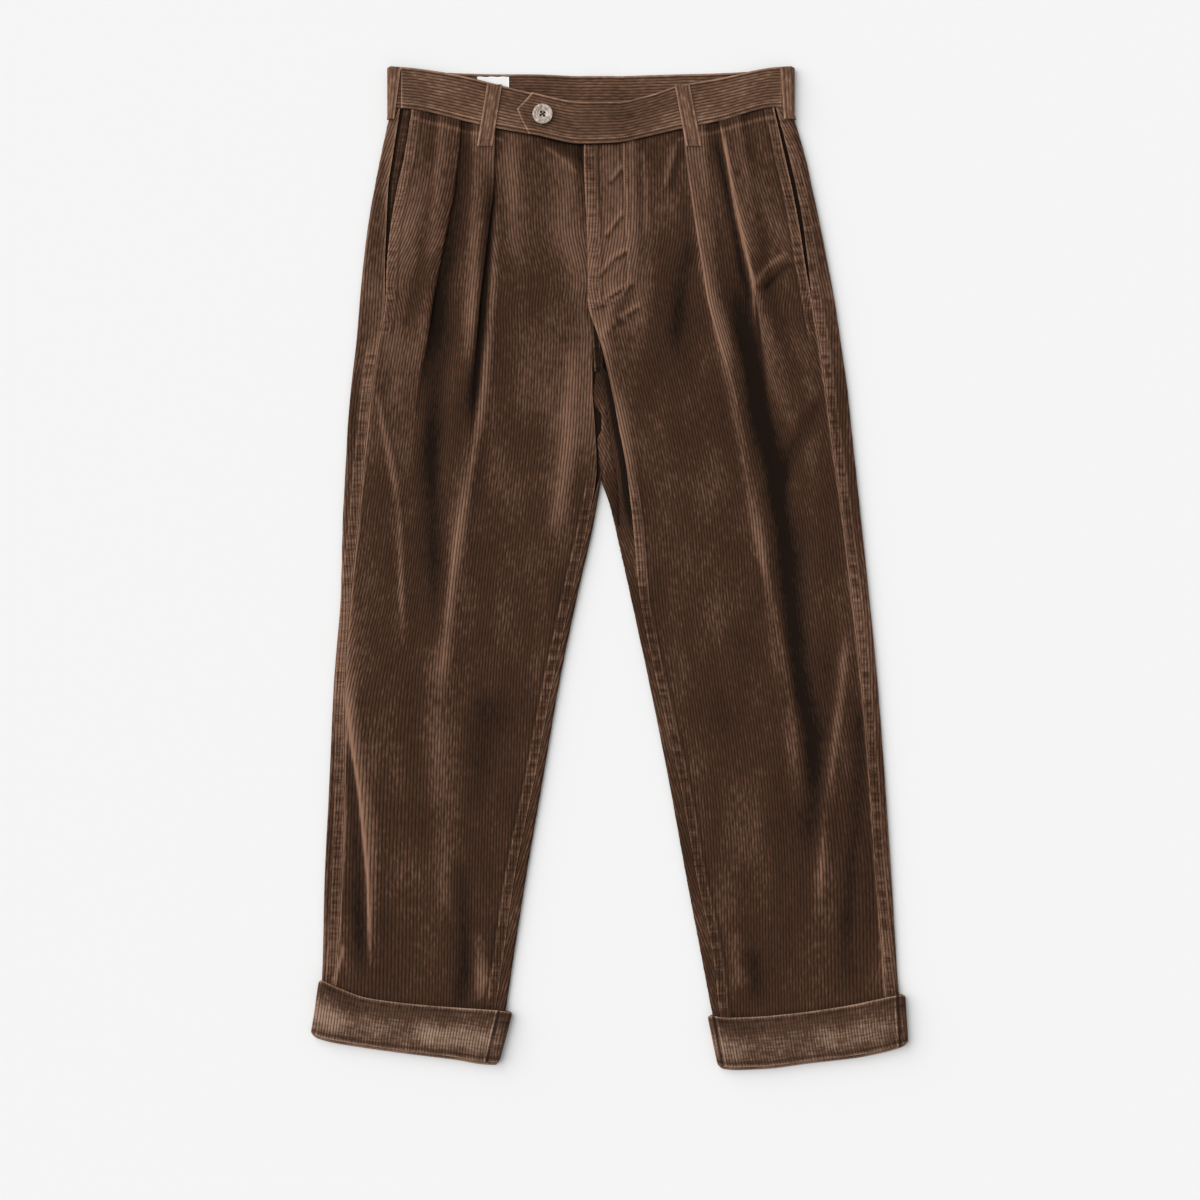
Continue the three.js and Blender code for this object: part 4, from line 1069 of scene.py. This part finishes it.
def back_band():
    floor = BAND / 2
    ends = {}
    for side, inward in (("right", 1), ("left", -1)):
        edge, join = BAND_SIDE[side], BAND_JOIN[side]
        radius = (band_height(edge) - floor) / 2
        centre = edge + inward * (BAND / 2 + radius)
        strip = np.linspace(join, centre, 6)[:-1]
        angle = np.linspace(0, math.pi, 13)
        x = np.concatenate([strip, centre - inward * radius * np.sin(angle)])
        z = np.concatenate([band_height(strip), floor + radius * (1 + np.cos(angle))])
        ends[side] = np.stack([x, z], 1)
    x = np.linspace(ends["right"][-1, 0], ends["left"][-1, 0], 110)[1:-1]
    lift = LOOP_LIFT * smooth((24 - np.abs(x - LOOP_BACK_X)) / 14)
    path = np.concatenate([ends["right"], np.stack([x, floor + lift], 1), ends["left"][::-1]])
    run = np.gradient(path, axis=0)
    run /= np.linalg.norm(run, axis=1, keepdims=True)
    along = np.concatenate([[0], np.cumsum(np.linalg.norm(np.diff(path, axis=0), axis=1))])
    share = np.linspace(0, 1, BAND_WALES * len(WALE_AT) + 1)
    x, z = [path[:, i:i + 1] + 0 * share for i in (0, 1)]
    on_top = z > BAND_REST - 1
    y = mix(np.where(on_top, waist.top(x), waist.back_top(x)),
            np.where(on_top, waist.seam(x), waist.back_seam(x)), share)
    normal = np.stack([run[:, 1], 0 * run[:, 0], -run[:, 0]], 1)[:, None] + 0 * upward(x)
    return band_piece("waistband_back_cloth", x, y, z, normal, along[:, None] + 0 * x, both=True)


# The same cloth on the band and the loops, where handling has paled it most
BANDING = corduroy("waistband corduroy", "2b1b11", "755643", "b8937b", "2e1d13", 1.4)
bands = {
    "waistband_right": front_band(
        "waistband_right_cloth", BAND_JOIN["right"] + GAP, RIGHT_END, lambda x: 0),
    "waistband_left": front_band("waistband_left_cloth", BAND_JOIN["left"] - GAP, None, tab_lift),
    "waistband_back": back_band(),
}
for name, piece in bands.items():
    piece.data.materials.append(BANDING)
    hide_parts(name)

# Belt loops: folded strips of corduroy; the two front ones get a row of stitches along each side
# further down. Two lie on the front, two wrap the band's folded sides and one is flat on the floor at the
# centre back.
LOOP_WIDTH = 16
LOOP_WALES = 5


def surface(*objects):
    """Finds the highest point of these pieces at x and y, in millimetres."""
    trees = []
    for piece in objects:
        mesh = piece.data
        points = [v.co / MM for v in mesh.vertices]
        trees.append(BVHTree.FromPolygons(points, [tuple(p.vertices) for p in mesh.polygons]))

    def height(x, y):
        hits = [tree.ray_cast(Vector((x, y, 60)), Vector((0, 0, -1)))[0] for tree in trees]
        return max((hit.z for hit in hits if hit), default=0.0)

    return height


def strip_piece(name, x, y, z, normal, along, width):
    """A narrow strip from its middle points: rows along it, columns across its wales."""
    profile = np.broadcast_to(np.append(np.tile(WALE_PROFILE, LOOP_WALES), 0), x.shape)
    across = np.linspace(0, width, x.shape[1])
    from_edge = np.minimum(across, width - across)
    from_end = np.minimum(along - along[0], along[-1] - along)
    full = edge_round(np.minimum(from_edge, from_end), 0.9, 0.3)
    # Painted highlights along both edges and painted shade just inside them
    tone = lines(from_edge, (0, 1.1, 1.2), (3.4, 1.1, -0.5)) + 0 * x
    piece = cloth_mesh(
        name, np.stack([x, y, z], 2), normal, CLOTH / 2 * full, 0.25 * (1 - profile) * full,
        np.stack([across + 0 * x, along], 2), {"pile": 0.45 + 0.55 * profile, "tone": tone})
    piece.data.materials.append(BANDING)
    return piece


loops = {}
FRONT_LOOPS = {"right": (-120.5, 506.5, -131, 441.5), "left": (76, 505.5, 88, 441.5)}
for side, (top_x, top_y, low_x, low_y) in FRONT_LOOPS.items():
    height = surface(panels[f"front_{side}"], bands[f"waistband_{side}"])
    stations = np.linspace(0, 1, 14)
    under = []
    for v in stations:
        centre, y = mix(top_x, low_x, v), min(mix(top_y, low_y, v), float(waist.top(top_x)) - 1.2)
        under.append(max(height(centre + u * LOOP_WIDTH, y) for u in np.linspace(-0.5, 0.5, 9)))
    v = np.concatenate([[0, 0.008, 0.02], np.linspace(0.045, 0.955, 22), [0.98, 0.992, 1]])[:, None]
    u = np.linspace(-0.5, 0.5, LOOP_WALES * 4 + 1)
    x = mix(top_x, low_x, v) + u * LOOP_WIDTH
    y = mix(top_y, low_y, v) + 0 * x
    arch = 0.9 * np.sin(math.pi * np.clip(v / 0.85, 0, 1))
    z = curve(stations, np.array(under))(v) + 0.1 + CLOTH / 2 + arch + 0 * x
    length = math.hypot(top_x - low_x, top_y - low_y)
    piece = strip_piece(
        f"belt_loop_front_{side}_cloth", x, y, z, upward(x), v * length + 0 * x, LOOP_WIDTH)
    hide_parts(f"belt_loop_front_{side}")
    loops[f"front_{side}"] = piece

SIDE_LOOPS = {"right": (1, 13, 6), "left": (-1, 14, 10)}
SIDE_LOOP_TOP, SIDE_LOOP_LOW, SIDE_LOOP_TURN, SIDE_LOOP_WIDTH = 524.5, 470, 210, 18
for side, (inward, top_reach, low_reach) in SIDE_LOOPS.items():
    edge = BAND_SIDE[side]
    radius = (band_height(edge) - BAND / 2) / 2
    centre_z = BAND / 2 + radius
    outer = radius + (BAND + CLOTH) / 2 + GAP
    rows = []
    levels = np.concatenate([[0, 0.01, 0.025], np.linspace(0.05, 0.95, 18), [0.975, 0.99, 1]])
    for v in levels:
        y = mix(SIDE_LOOP_TOP, SIDE_LOOP_LOW, v)
        shift = max(0, (edge - legs[side].edge(min(y, 483))) * inward)
        centre = edge + inward * (centre_z - shift)
        strip = np.linspace(edge + inward * mix(top_reach, low_reach, v), centre, 8)[:-1]
        angle = np.linspace(math.pi / 2, math.radians(SIDE_LOOP_TURN), 14)
        x = np.concatenate([strip, centre + inward * outer * np.cos(angle)])
        z = np.concatenate([0 * strip + band_height(edge) + (BAND + CLOTH) / 2 + GAP,
                            centre_z + outer * np.sin(angle)])
        along = np.concatenate([[0], np.cumsum(np.hypot(np.diff(x), np.diff(z)))])
        at = np.linspace(0, along[-1], LOOP_WALES * 4 + 1)
        rows.append(np.stack([np.interp(at, along, x), 0 * at + y, np.interp(at, along, z)], 1))
    rows = np.array(rows)
    run = np.gradient(rows, axis=1)
    normal = np.stack([-run[..., 2], 0 * run[..., 0], run[..., 0]], 2) * -inward
    normal /= np.linalg.norm(normal, axis=2, keepdims=True)
    down = levels[:, None] * (SIDE_LOOP_TOP - SIDE_LOOP_LOW) + 0 * rows[..., 0]
    piece = strip_piece(f"belt_loop_side_{side}_cloth", rows[..., 0], rows[..., 1], rows[..., 2],
                        normal, down, SIDE_LOOP_WIDTH)
    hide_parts(f"belt_loop_side_{side}")
    loops[f"side_{side}"] = piece

v = np.concatenate([[0, 0.02], np.linspace(0.06, 0.94, 8), [0.98, 1]])[:, None]
x = LOOP_BACK_X + np.linspace(-0.5, 0.5, LOOP_WALES * 4 + 1) * LOOP_WIDTH + 0 * v
y = mix(waist.back_top(LOOP_BACK_X) - 1, waist.back_seam(LOOP_BACK_X) + 1, v) + 0 * x
piece = strip_piece(
    "belt_loop_back_cloth", x, y, CLOTH / 2 + 0 * x, upward(x, -1.0), v * 41 + 0 * x, LOOP_WIDTH)
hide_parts("belt_loop_back")
loops["back"] = piece

# Facings: a strip of corduroy behind each pocket mouth, and the fly's facing with its tail to
# the crotch. Both lie one layer below the fronts and are stitched to them from outside.
POCKET_BOTTOM, POCKET_UNDER = 270, 3
POCKET_BEHIND = {"right": 6, "left": 11}
FACING_LIGHT = {"right": 0.0, "left": -0.4}


def facing_piece(name, x, y, z, along, light):
    """A facing, with the shadow that the piece above throws along its first edge."""
    across = np.abs(x - x[:, :1])
    tone = light - 2.3 * bell(across - 3.8, 2)
    profile = np.interp(across / WALE % 1, WALE_AT + (1,), WALE_PROFILE + (0,))
    piece = cloth_mesh(
        name, np.stack([x, y, z], 2), upward(x), CLOTH / 2 + 0 * x, WALE_DEPTH * (1 - profile),
        np.stack([across, along], 2), {"pile": profile, "tone": tone, "seam": 0.8 + 0 * x})
    piece.data.materials.append(CORDUROY)
    return piece


for side, leg in legs.items():
    v, u = np.linspace(0, 1, 40)[:, None], np.linspace(0, 1, 33)

    def facing_y(x):
        return mix(np.minimum(waist.seam(x), waist.back_seam(x)) - GAP * 2, POCKET_BOTTOM, v)

    guess = facing_y(leg.front(470))
    start = leg.strip(guess) - leg.inward * POCKET_UNDER
    x = mix(start, leg.front(guess) + leg.inward * POCKET_BEHIND[side], u)
    y = facing_y(x)
    # Painted shadow on the facing beside the front's edge
    light = FACING_LIGHT[side] - 1.3 * bell(x - leg.front(y), 2.2)
    z = upper_height(leg, x, y) - PLY - 0.15
    piece = facing_piece(f"pocket_facing_{side}_cloth", x, y, z, -y, light)
    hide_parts(f"pocket_facing_{side}")

y = np.linspace(FLY.y.max(), FLY.y.min(), 60)[:, None]
x = mix(fly.from_x(y), fly.to_x(y), np.linspace(0, 1, 49))
y = y + 0 * x
piece = facing_piece("fly_facing_cloth", x, y, CLOTH * 2.5 + GAP * 2 + 0 * x, -y, 0.45)
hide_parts("fly_facing")

# Seat seam: the turned allowances of the two backs' seam, which show in the fork below the fly
# with their wales aslant.
SEAT_SEAM = table("y from_x to_x", [
    (250, -12, -5),
    (206, -14, -7),
    (185, -17, -5),
    (172, -16, -4),
    (160, -8.5, -2.5),
    (146, -8.5, -1),
    (134, -13, 1),
    (118, -11, 3),
    (92, -8.5, 7.5),
    (76, -3, 8.8),
    (44, 8, 9.5),
])
SEAT_SLANT = 0.45
seat = SimpleNamespace(**curves(SEAT_SEAM, "y"))
share = np.linspace(0, 1, 33)
y = np.linspace(SEAT_SEAM.y.max(), SEAT_SEAM.y.min(), 190)[:, None]
x = mix(seat.from_x(y), seat.to_x(y), share)
y = y + 0 * x
aslant = (x * math.cos(SEAT_SLANT) + y * math.sin(SEAT_SLANT)) / WALE % 1
profile = np.interp(aslant, WALE_AT + (1,), WALE_PROFILE + (0,))
height = surface(panels["back_right"], panels["back_left"])
below = [[max(height(*point), CLOTH) for point in zip(*line)] for line in zip(x[:, ::2], y[:, ::2])]
below = np.repeat(blur(np.array(below), (4, 2)), 2, axis=1)[:, :len(share)]
z = below + CLOTH / 2 + GAP + 0.8 * np.sin(math.pi * share)
# Painted shade in the fork: darker at the top and towards the lower end
piece = cloth_mesh(
    "seat_seam_cloth", np.stack([x, y, z], 2), upward(x), CLOTH / 2 + 0 * x, WALE_DEPTH * (1 - profile),
    np.stack([x, y], 2),
    {"pile": profile, "tone": -0.9 + 1.1 * smooth((215 - y) / 60) - 0.9 * smooth((120 - y) / 60)})
piece.data.materials.append(CORDUROY)

# Stitching: cotton thread a little lighter than the cloth, about eight stitches to the inch and
# half sunk in the pile. Rows run beside each seam, round the fly, along the band and the loops.
STITCH, STITCH_STEP, STITCH_HALF = 2.5, 3.2, 0.32
TACK = dict(step=0.9, length=0.7)


def stitch_row(height, points, step=STITCH_STEP, length=STITCH):
    """Stitches along a line of points in x and y, each from its start to its end with a height."""
    line = np.array(points, float)
    along = np.concatenate([[0], np.cumsum(np.hypot(*np.diff(line, axis=0).T))])
    made = []
    for start in np.arange(0.4, along[-1] - length, step):
        ends = [[np.interp(at, along, line[:, 0]), np.interp(at, along, line[:, 1])]
                for at in (start, start + length)]
        if min(height(*end) for end in ends) > 0:
            made.append([[*end, height(*end)] for end in ends])
    return made


def stitching(name, rows):
    """One mesh of small spindles of thread, one to each stitch."""
    turn = np.arange(6) * math.pi / 3
    points, faces = [], []
    for a, b in rows:
        a, b = np.array(a), np.array(b)
        run = (b - a) / np.linalg.norm(b - a)
        side = np.array([-run[1], run[0], 0])
        side /= np.linalg.norm(side)
        up = np.cross(run, side)
        first = len(points)
        points.append(a)
        for share, thick in ((0.18, 0.8), (0.5, 1.0), (0.82, 0.8)):
            centre = mix(a, b, share) + up * STITCH_HALF * 0.35
            points += [centre + STITCH_HALF * thick * (side * math.cos(t) + up * math.sin(t)) for t in turn]
        points.append(b)
        for k in range(6):
            n = (k + 1) % 6
            faces.append((first, first + 1 + n, first + 1 + k))
            for ring in (1, 7):
                here, there = first + ring, first + ring + 6
                faces.append((here + k, here + n, there + n, there + k))
            faces.append((first + 19, first + 13 + k, first + 13 + n))
    mesh = bpy.data.meshes.new(name)
    mesh.from_pydata((np.array(points) * MM).tolist(), [], faces)
    mesh.polygons.foreach_set("use_smooth", np.ones(len(faces), bool))
    piece = bpy.data.objects.new(name, mesh)
    bpy.context.scene.collection.objects.link(piece)
    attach(piece, "root")
    piece.data.materials.append(THREAD)
    return piece


def cotton_thread(name, colour, shade):
    """Plied cotton thread: a fine twist of lighter and darker strands."""
    made, tree, principled = material(name, roughness=0.8, specular_ior_level=0.2)
    place = node(tree, "TexCoord").outputs["Object"]
    twist = node(tree, "TexNoise", inputs={"Scale": 900.0, "Detail": 1.0}, links={"Vector": place})
    strands = node(tree, "ValToRGB", links={"Fac": twist.outputs["Fac"]},
                   stops=((0.35, shade), (0.65, colour)))
    tree.links.new(strands.outputs["Color"], principled.inputs["Base Color"])
    return made


THREAD = cotton_thread("brown cotton thread", "745443", "49342a")
for side, leg in legs.items():
    front, back = surface(panels[f"front_{side}"]), surface(panels[f"back_{side}"])
    # Each pair of rows: the surface sewn, its seam, the way to them and how far, and from and to y
    sewn = [(front, leg.front, leg.inward, (1.9, 8.4), 478, BAND_FROM),
            (front, leg.closing, -leg.inward, (1.9, 8.2), 84, -440),
            (back, leg.front, -leg.inward, (2.3, 8.6), BAND_FROM, -438)]
    pocket_end = leg.front(284) + leg.inward * 5
    tacks = [[(pocket_end - 5, 288), (pocket_end + 5, 288)]]
    rows = []
    if side == "left":
        sewn.append((front, leg.closing, -leg.inward, (11.2, 1.8), 440, 284))
        tacks.append([(-24, 274.5), (-11, 275.5)])
        rows += stitch_row(front, FLY_STITCH)
    for height, line, way, reach, high, low in sewn:
        for away in reach:
            rows += stitch_row(height, [(line(y) + way * away, y) for y in np.arange(high, low, -4.0)
                                        if y < waist.seam(line(y)) - 3])
    for tack in tacks:
        rows += stitch_row(front, tack, **TACK)
    stitching(f"stitches_{side}_leg", rows)

rows = []
for side, start, end in (("right", -212, -24), ("left", 174, -76)):
    height = surface(bands[f"waistband_{side}"])
    rows += stitch_row(height, [(x, waist.seam(x) + 4.4) for x in np.linspace(start, end, 60)])
height = surface(bands["waistband_left"])
tab = [(x, waist.top(x) - 4.4) for x in np.linspace(-40, -76, 10)]
tab += [(-82, 487), (-91.5, 478), (-85, 469), (-76, float(waist.seam(-76)) + 4.4)]
rows += stitch_row(height, tab)
rows += stitch_row(height, [(-60.5, 468.5), (-46, 468.0)], 0.8, 0.6)
for side, (top_x, top_y, low_x, low_y) in FRONT_LOOPS.items():
    height = surface(loops[f"front_{side}"])
    for away in (-5, 5):
        rows += stitch_row(height, [(mix(top_x, low_x, v) + away, mix(top_y, low_y, v))
                                    for v in (0.03, 0.5, 0.97)])
    x, y = mix(top_x, low_x, 0.9), mix(top_y, low_y, 0.9)
    rows += stitch_row(height, [(x - 7, y), (x + 7, y)], **TACK)
stitching("stitches_waist", rows)

# Woven label: a blank white cotton label inside the back band, its top edge turned under.
LABEL = SimpleNamespace(left=-139, right=-105.5, top=515, bottom=496, half=0.3)
v, u = np.concatenate([[0, 0.02, 0.05], np.linspace(0.12, 1, 10)])[:, None], np.linspace(0, 1, 30)
down = v * (LABEL.top - LABEL.bottom)
x = mix(LABEL.left, LABEL.right, u) + 0 * v
y = LABEL.top - down + 0.25 * np.sin(u * 17)
z = BAND + GAP + 0.45 + 0.12 * np.sin(u * 9 + 1) + 0.25 * smooth(1 - down / 5)
full = edge_round(np.minimum(down, LABEL.top - LABEL.bottom - down), 0.5)
piece = cloth_mesh(
    "label_cloth", np.stack([x, y, z + 0 * x], 2), upward(x), LABEL.half * full + 0 * x, 0 * x,
    np.stack([x, y], 2), {}, both=True)
# Bleached cotton, matt and nearly white
made, tree, principled = material("white woven label", roughness=0.75)
place = node(tree, "Attribute", {"attribute_name": "cloth"}).outputs["Vector"]
# Weft ribs of about 0.5 mm, drawn coarser than the real 0.2 mm so that they show
ribs = node(tree, "TexWave", {"bands_direction": "Y"}, {"Scale": 0.32, "Distortion": 0.4}, {"Vector": place})
ribs = ribs.outputs["Fac"]
shade = node(tree, "ValToRGB", links={"Fac": ribs}, stops=((0.0, "f0efed"), (1.0, "fdfcfb")))
tree.links.new(shade.outputs["Color"], principled.inputs["Base Color"])
bump = node(tree, "Bump", inputs={"Strength": 0.5, "Distance": 0.0001}, links={"Height": ribs})
tree.links.new(bump.outputs["Normal"], principled.inputs["Normal"])
piece.data.materials.append(made)
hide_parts("label_blank")

# Button: a four-hole button of pale speckled horn-like resin with a raised rim and a dished middle,
# sewn to the tab with dark brown thread. Its sizes are in metres.
BUTTON = SimpleNamespace(
    x=-0.0701, y=0.4749, radius=0.0104, height=0.003, rim=0.0021, slope=0.0011, dish=0.0009,
    hole=0.0013, spread=0.0024, turn=35, worn=0.00035, thread=0.0005)
button_low = (float(band_height(-70.1)) + float(tab_lift(-70.1)) + BAND / 2 + GAP) * MM


def pick_faces(piece, wanted):
    """Leaves edit mode with only the wanted faces selected, and enters it again."""
    bpy.ops.mesh.select_all(action="DESELECT")
    bpy.ops.object.mode_set(mode="OBJECT")
    for face in piece.data.polygons:
        face.select = wanted(face)
    bpy.ops.object.mode_set(mode="EDIT")


bpy.ops.object.select_all(action="DESELECT")
bpy.ops.mesh.primitive_cylinder_add(
    vertices=40, radius=BUTTON.radius, depth=BUTTON.height,
    location=(BUTTON.x, BUTTON.y, button_low + BUTTON.height / 2))
button = bpy.context.object
button.name = "button_resin"
bpy.ops.object.transform_apply(location=True)
bpy.ops.object.mode_set(mode="EDIT")
bpy.ops.mesh.select_mode(type="FACE")
pick_faces(button, lambda face: face.normal.z > 0.9)
bpy.ops.mesh.inset(thickness=BUTTON.rim)
bpy.ops.mesh.inset(thickness=BUTTON.slope)
bpy.ops.transform.translate(value=(0, 0, -BUTTON.dish))
bpy.ops.object.mode_set(mode="OBJECT")
cutters = []
for quarter in range(4):
    angle = math.radians(BUTTON.turn + 90 * quarter)
    x = BUTTON.x + BUTTON.spread * math.cos(angle)
    y = BUTTON.y + BUTTON.spread * math.sin(angle)
    bpy.ops.object.select_all(action="DESELECT")
    bpy.ops.mesh.primitive_cylinder_add(
        vertices=14, radius=BUTTON.hole, depth=0.01, location=(x, y, button_low))
    cutters.append(bpy.context.object)
for cutter in cutters:
    bpy.ops.object.select_all(action="DESELECT")
    bpy.context.view_layer.objects.active = button
    button.select_set(True)
    cut = button.modifiers.new("hole", "BOOLEAN")
    cut.object = cutter
    cut.solver = "EXACT"
    bpy.ops.object.modifier_apply(modifier=cut.name)
bevel = button.modifiers.new("worn edges", "BEVEL")
bevel.width = BUTTON.worn
bevel.segments = 2
bevel.limit_method = "ANGLE"
bpy.ops.object.modifier_apply(modifier=bevel.name)
bpy.ops.object.select_all(action="DESELECT")
for cutter in cutters:
    cutter.select_set(True)
bpy.ops.object.delete()
button.select_set(True)
bpy.context.view_layer.objects.active = button
bpy.ops.object.shade_smooth_by_angle(angle=math.radians(40))
# Polyester resin polished to a low shine, clouded like horn
made, tree, principled = material("polished horn resin", roughness=0.35)
place = node(tree, "TexCoord").outputs["Object"]
# Clouding of about 3 mm with specks of about half a millimetre
clouds, specks = (node(tree, "TexNoise", inputs={"Scale": scale, "Detail": 2.0}, links={"Vector": place})
                  for scale in (330.0, 2200.0))
marks = node(tree, "Math", {"operation": "MULTIPLY"}, {1: 0.5}, {0: specks.outputs["Fac"]}).outputs[0]
marks = node(tree, "Math", {"operation": "MULTIPLY_ADD"}, {1: 0.55}, {0: clouds.outputs["Fac"], 2: marks})
shade = node(tree, "ValToRGB", links={"Fac": marks.outputs[0]},
             stops=((0.38, "6e5b4d"), (0.5, "a8968a"), (0.62, "d6cbc2")))
tree.links.new(shade.outputs["Color"], principled.inputs["Base Color"])
button.data.materials.append(made)
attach(button, "root")
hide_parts("waist_button")

DARK_THREAD = cotton_thread("dark button thread", "3a281e", "1c120c")
strands = []
for quarter in range(2):
    z = button_low + BUTTON.height - BUTTON.dish + 0.0001 + 0.0004 * quarter
    bpy.ops.object.select_all(action="DESELECT")
    bpy.ops.mesh.primitive_cylinder_add(
        vertices=10, radius=BUTTON.thread, depth=BUTTON.spread * 2.1, location=(BUTTON.x, BUTTON.y, z),
        rotation=(0, math.pi / 2, math.radians(BUTTON.turn + 90 * quarter)))
    strands.append(bpy.context.object)
bpy.ops.object.select_all(action="DESELECT")
for strand in strands:
    strand.select_set(True)
bpy.context.view_layer.objects.active = strands[0]
bpy.ops.object.join()
thread = bpy.context.object
thread.name = "button_thread"
bpy.ops.object.transform_apply(location=True, rotation=True)
bpy.ops.object.mode_set(mode="EDIT")
bpy.ops.mesh.select_all(action="SELECT")
bpy.ops.mesh.bevel(offset=0.0002, segments=2)
bpy.ops.object.mode_set(mode="OBJECT")
bpy.ops.object.shade_smooth()
thread.data.materials.append(DARK_THREAD)
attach(thread, "root")

# Studio: a pale matt floor and one large soft light from the upper left, seen from straight above.
FLOOR_DROP = 0.0004
bpy.ops.object.select_all(action="DESELECT")
bpy.ops.mesh.primitive_plane_add(size=8, location=(0, 0, -FLOOR_DROP))
floor = bpy.context.object
floor.name = "floor"
made, tree, principled = material("pale floor", roughness=0.9, base_color=srgb("f6f6f6"))
floor.data.materials.append(made)

bpy.ops.object.light_add(type="SUN", location=(-1.4, 0.9, 1.5))
light = bpy.context.object
light.name = "softbox"
light.data.energy = 3.0
light.data.angle = math.radians(75)
light.rotation_euler = Vector((1.25, -0.8, -1.15)).to_track_quat("-Z", "Y").to_euler()
world = bpy.data.worlds.new("studio")
bpy.context.scene.world = world
world.use_nodes = True
world.node_tree.nodes["Background"].inputs["Color"].default_value = (1, 1, 1, 1)
world.node_tree.nodes["Background"].inputs["Strength"].default_value = 0.41

bpy.ops.object.camera_add(location=(-0.010, -0.0336, 2.975), rotation=(0, 0, 0))
camera = bpy.context.object
camera.data.lens = 85
camera.data.sensor_width = 36
bpy.context.scene.camera = camera
bpy.context.scene.view_settings.view_transform = "Standard"
